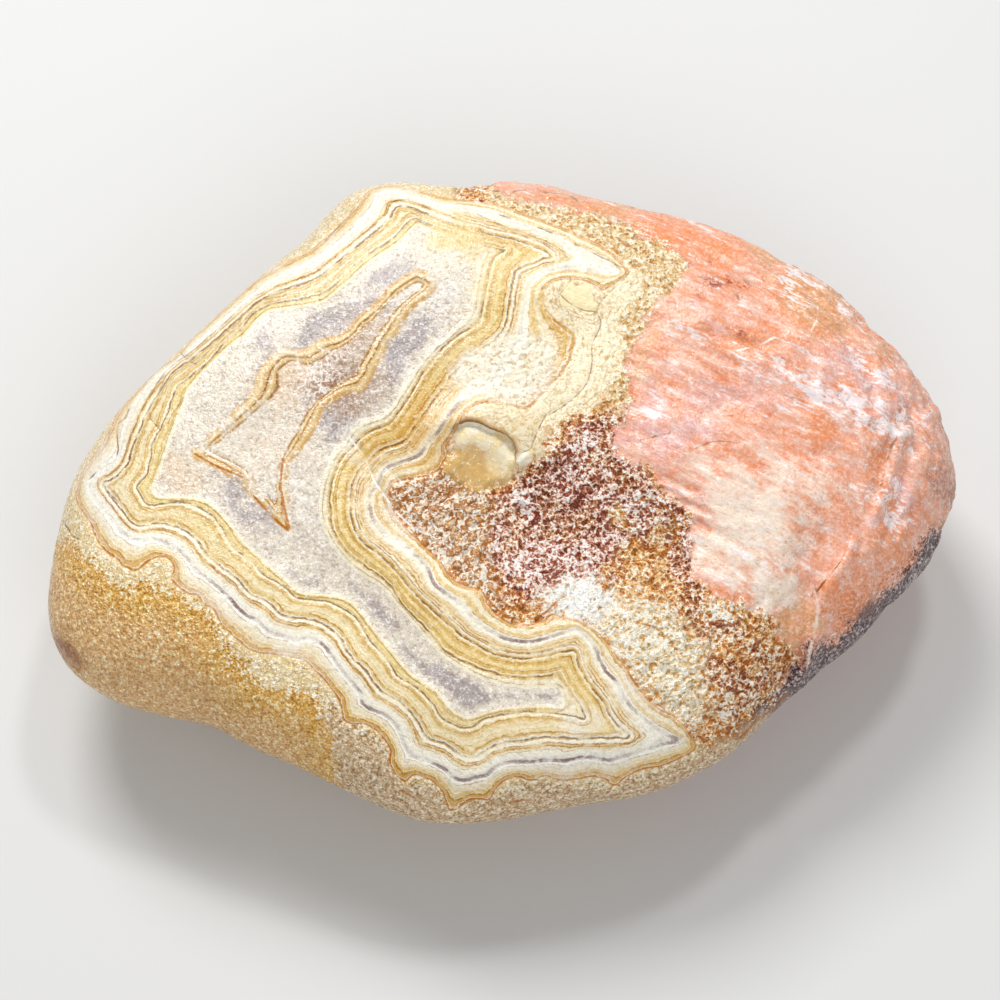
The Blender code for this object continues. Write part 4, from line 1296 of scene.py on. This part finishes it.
def hiddenColor(tree, place, clouds):
    # the back and underside, tan under the bands and pinkish under the jasper
    split = tree.nodes.new("ShaderNodeSeparateXYZ")
    tree.links.new(place, split.inputs[0])
    tone = calc(tree, "MULTIPLY_ADD", clouds["mottle"], 1.2, product(tree, clouds["grit"], 0.35))
    tone = calc(tree, "SUBTRACT", tone, 0.28)
    east = swayed(tree, split.outputs["X"], clouds["mottle"], 30.0)
    return blend(tree, step(tree, east, 2.0, 13.0), ramp(tree, tone, rindLook["hiddenTan"]),
                 ramp(tree, tone, rindLook["hiddenPink"]))


polish = {
    "smoothest": 0.12, "roughest": 0.32, "rindRoughness": 0.24,
    "grit": 0.09, "fleck": 0.03, "worms": 0.10,     # heights in millimetres
    "strength": 1.0, "specular": 0.6,
    "saturation": 1.12, "speckle": 0.13,
}


def makeStoneMaterial():
    material = bpy.data.materials.new("bandedAgate")
    material.use_nodes = True
    tree = material.node_tree
    shader = tree.nodes["Principled BSDF"]
    patchGroup, markGroup = makePatchGroup(), makeMarkGroup()
    coordinates = tree.nodes.new("ShaderNodeTexCoord")
    scaled = tree.nodes.new("ShaderNodeVectorMath")
    scaled.operation = "SCALE"
    tree.links.new(coordinates.outputs["Object"], scaled.inputs[0])
    scaled.inputs["Scale"].default_value = 1 / millimetre
    place = scaled.outputs[0]
    fields = readFields(tree)
    clouds = makeClouds(tree, place, fields)

    centered = calc(tree, "SUBTRACT", clouds["grit"], 0.5)

    def patch(name):
        ragged, soft, grainy = patchEdges[name]
        distance = calc(tree, "MULTIPLY_ADD", centered, grainy, fields[name])
        values = {"Distance": distance, "Wander": clouds["wander"], "Ragged": ragged, "Soft": soft}
        return placeGroup(tree, patchGroup, **values)["Mask"]

    color = crystalColor(tree, fields, clouds, patch)
    color = blend(tree, patch("jasper"), color, jasperColor(tree, fields, clouds))
    color = blend(tree, patch("greyHusk"), color, ramp(tree, clouds["grit"], rindLook["greyHusk"]))
    color = rindColor(tree, color, fields, clouds, patch)
    bands = ringColor(tree, bandColor(tree, fields, clouds), fields, clouds)
    color = blend(tree, step(tree, fields["husk"], 1.4, -0.8), color, bands)
    fade = step(tree, clouds["fade"], 0.36, 0.56, 0.35, 1.0)
    for name, width, shade in (("rusty", 1.3, bandLook["orange"]), ("dark", 0.6, bandLook["dark"]),
                               ("pale", 0.9, bandLook["white"])):
        wound = attributeVector(tree, name)
        mask = placeGroup(tree, markGroup, Wound=wound, Width=width, Fade=fade)["Mask"]
        color = blend(tree, mask, color, shade)
    turned = swayed(tree, fields["facing"], clouds["mottle"], 1.1)
    hidden = step(tree, calc(tree, "MULTIPLY_ADD", centered, 0.12, turned), 0.04, -0.16)
    color = blend(tree, hidden, color, hiddenColor(tree, place, clouds))
    richer = tree.nodes.new("ShaderNodeHueSaturation")
    richer.inputs["Saturation"].default_value = polish["saturation"]
    feed(tree, richer.inputs["Value"], calc(tree, "MULTIPLY_ADD", clouds["grit"], polish["speckle"],
                                            1.0 - polish["speckle"] / 2))
    tree.links.new(color, richer.inputs["Color"])
    tree.links.new(richer.outputs["Color"], shader.inputs["Base Color"])

    rough = step(tree, clouds["speck"], 0.38, 0.62, polish["smoothest"], polish["roughest"])
    rough = calc(tree, "MULTIPLY_ADD", hidden, polish["rindRoughness"], rough)
    tree.links.new(rough, shader.inputs["Roughness"])

    height = product(tree, clouds["speck"], polish["grit"])
    height = calc(tree, "MULTIPLY_ADD", clouds["fleck"], polish["fleck"], height)
    rugged = step(tree, fields["husk"], -2.0, 6.0)
    for name in ("jasper", "creamField", "dimple"):
        rugged = product(tree, rugged, step(tree, fields[name], -6.0, 4.0))
    height = calc(tree, "MULTIPLY_ADD", product(tree, clouds["worm"], rugged), polish["worms"], height)
    bump = tree.nodes.new("ShaderNodeBump")
    bump.inputs["Strength"].default_value = polish["strength"]
    bump.inputs["Distance"].default_value = millimetre
    tree.links.new(height, bump.inputs["Height"])
    tree.links.new(bump.outputs["Normal"], shader.inputs["Normal"])
    shader.inputs["Specular IOR Level"].default_value = polish["specular"]
    return material


stage = {
    "floorSize": 1.2,
    "floorColor": (222, 222, 220), "floorRoughness": 0.7,
    "sky": (0.95, 0.97, 1.0, 1.0), "skyStrength": 0.30,
    "lightAim": (0, 0, 0.01),
    "keyPlace": (-0.12, 0.27, 0.36), "keySize": 0.16, "keyPower": 1.38,
    "glintPlace": (0.08, 0.22, 0.40), "glintSize": 0.05, "glintPower": 0.40,
    "fillPlace": (0.07, -0.33, 0.33), "fillSize": 0.30, "fillPower": 0.70,
}


def makeFloor():
    bm = bmesh.new()
    bmesh.ops.create_grid(bm, x_segments=1, y_segments=1, size=stage["floorSize"])
    mesh = bpy.data.meshes.new("floor")
    bm.to_mesh(mesh)
    bm.free()
    material = bpy.data.materials.new("paleFloor")
    material.use_nodes = True
    shader = material.node_tree.nodes["Principled BSDF"]
    shader.inputs["Base Color"].default_value = srgb(*stage["floorColor"])
    shader.inputs["Roughness"].default_value = stage["floorRoughness"]
    mesh.materials.append(material)
    floor = bpy.data.objects.new("floor", mesh)
    bpy.context.scene.collection.objects.link(floor)
    return floor


def softLight(name):
    lamp = bpy.data.lights.new(name + "Light", "AREA")
    lamp.size = stage[name + "Size"]
    lamp.energy = stage[name + "Power"]
    light = bpy.data.objects.new(name + "Light", lamp)
    light.location = stage[name + "Place"]
    toStone = Vector(stage["lightAim"]) - light.location
    light.rotation_euler = toStone.to_track_quat("-Z", "Y").to_euler()
    bpy.context.scene.collection.objects.link(light)
    return light


def makeCamera():
    tilt = math.radians(view["elevation"])
    lens = bpy.data.cameras.new("camera")
    lens.lens = view["lens"]
    lens.sensor_width = view["sensor"]
    lens.clip_start = 0.01
    camera = bpy.data.objects.new("camera", lens)
    back = Vector((0, -math.cos(tilt), math.sin(tilt))) * view["distance"]
    camera.location = (Vector(view["aim"]) + back) * millimetre
    camera.rotation_euler = (math.pi / 2 - tilt, 0, 0)
    bpy.context.scene.collection.objects.link(camera)
    bpy.context.scene.camera = camera


def lightSky():
    world = bpy.data.worlds.new("studio")
    world.use_nodes = True
    background = world.node_tree.nodes["Background"]
    background.inputs["Color"].default_value = stage["sky"]
    background.inputs["Strength"].default_value = stage["skyStrength"]
    bpy.context.scene.world = world


agate = makeStone(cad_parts["agate_nodule"])
agate.data.materials.clear()
agate.data.materials.append(makeStoneMaterial())
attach(agate, "root")
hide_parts("agate_nodule")
print("stone finished")

makeFloor()
for name in ("key", "glint", "fill"):
    softLight(name)
lightSky()
makeCamera()
bpy.context.scene.view_settings.view_transform = "Standard"
print("floor, lights and camera set")
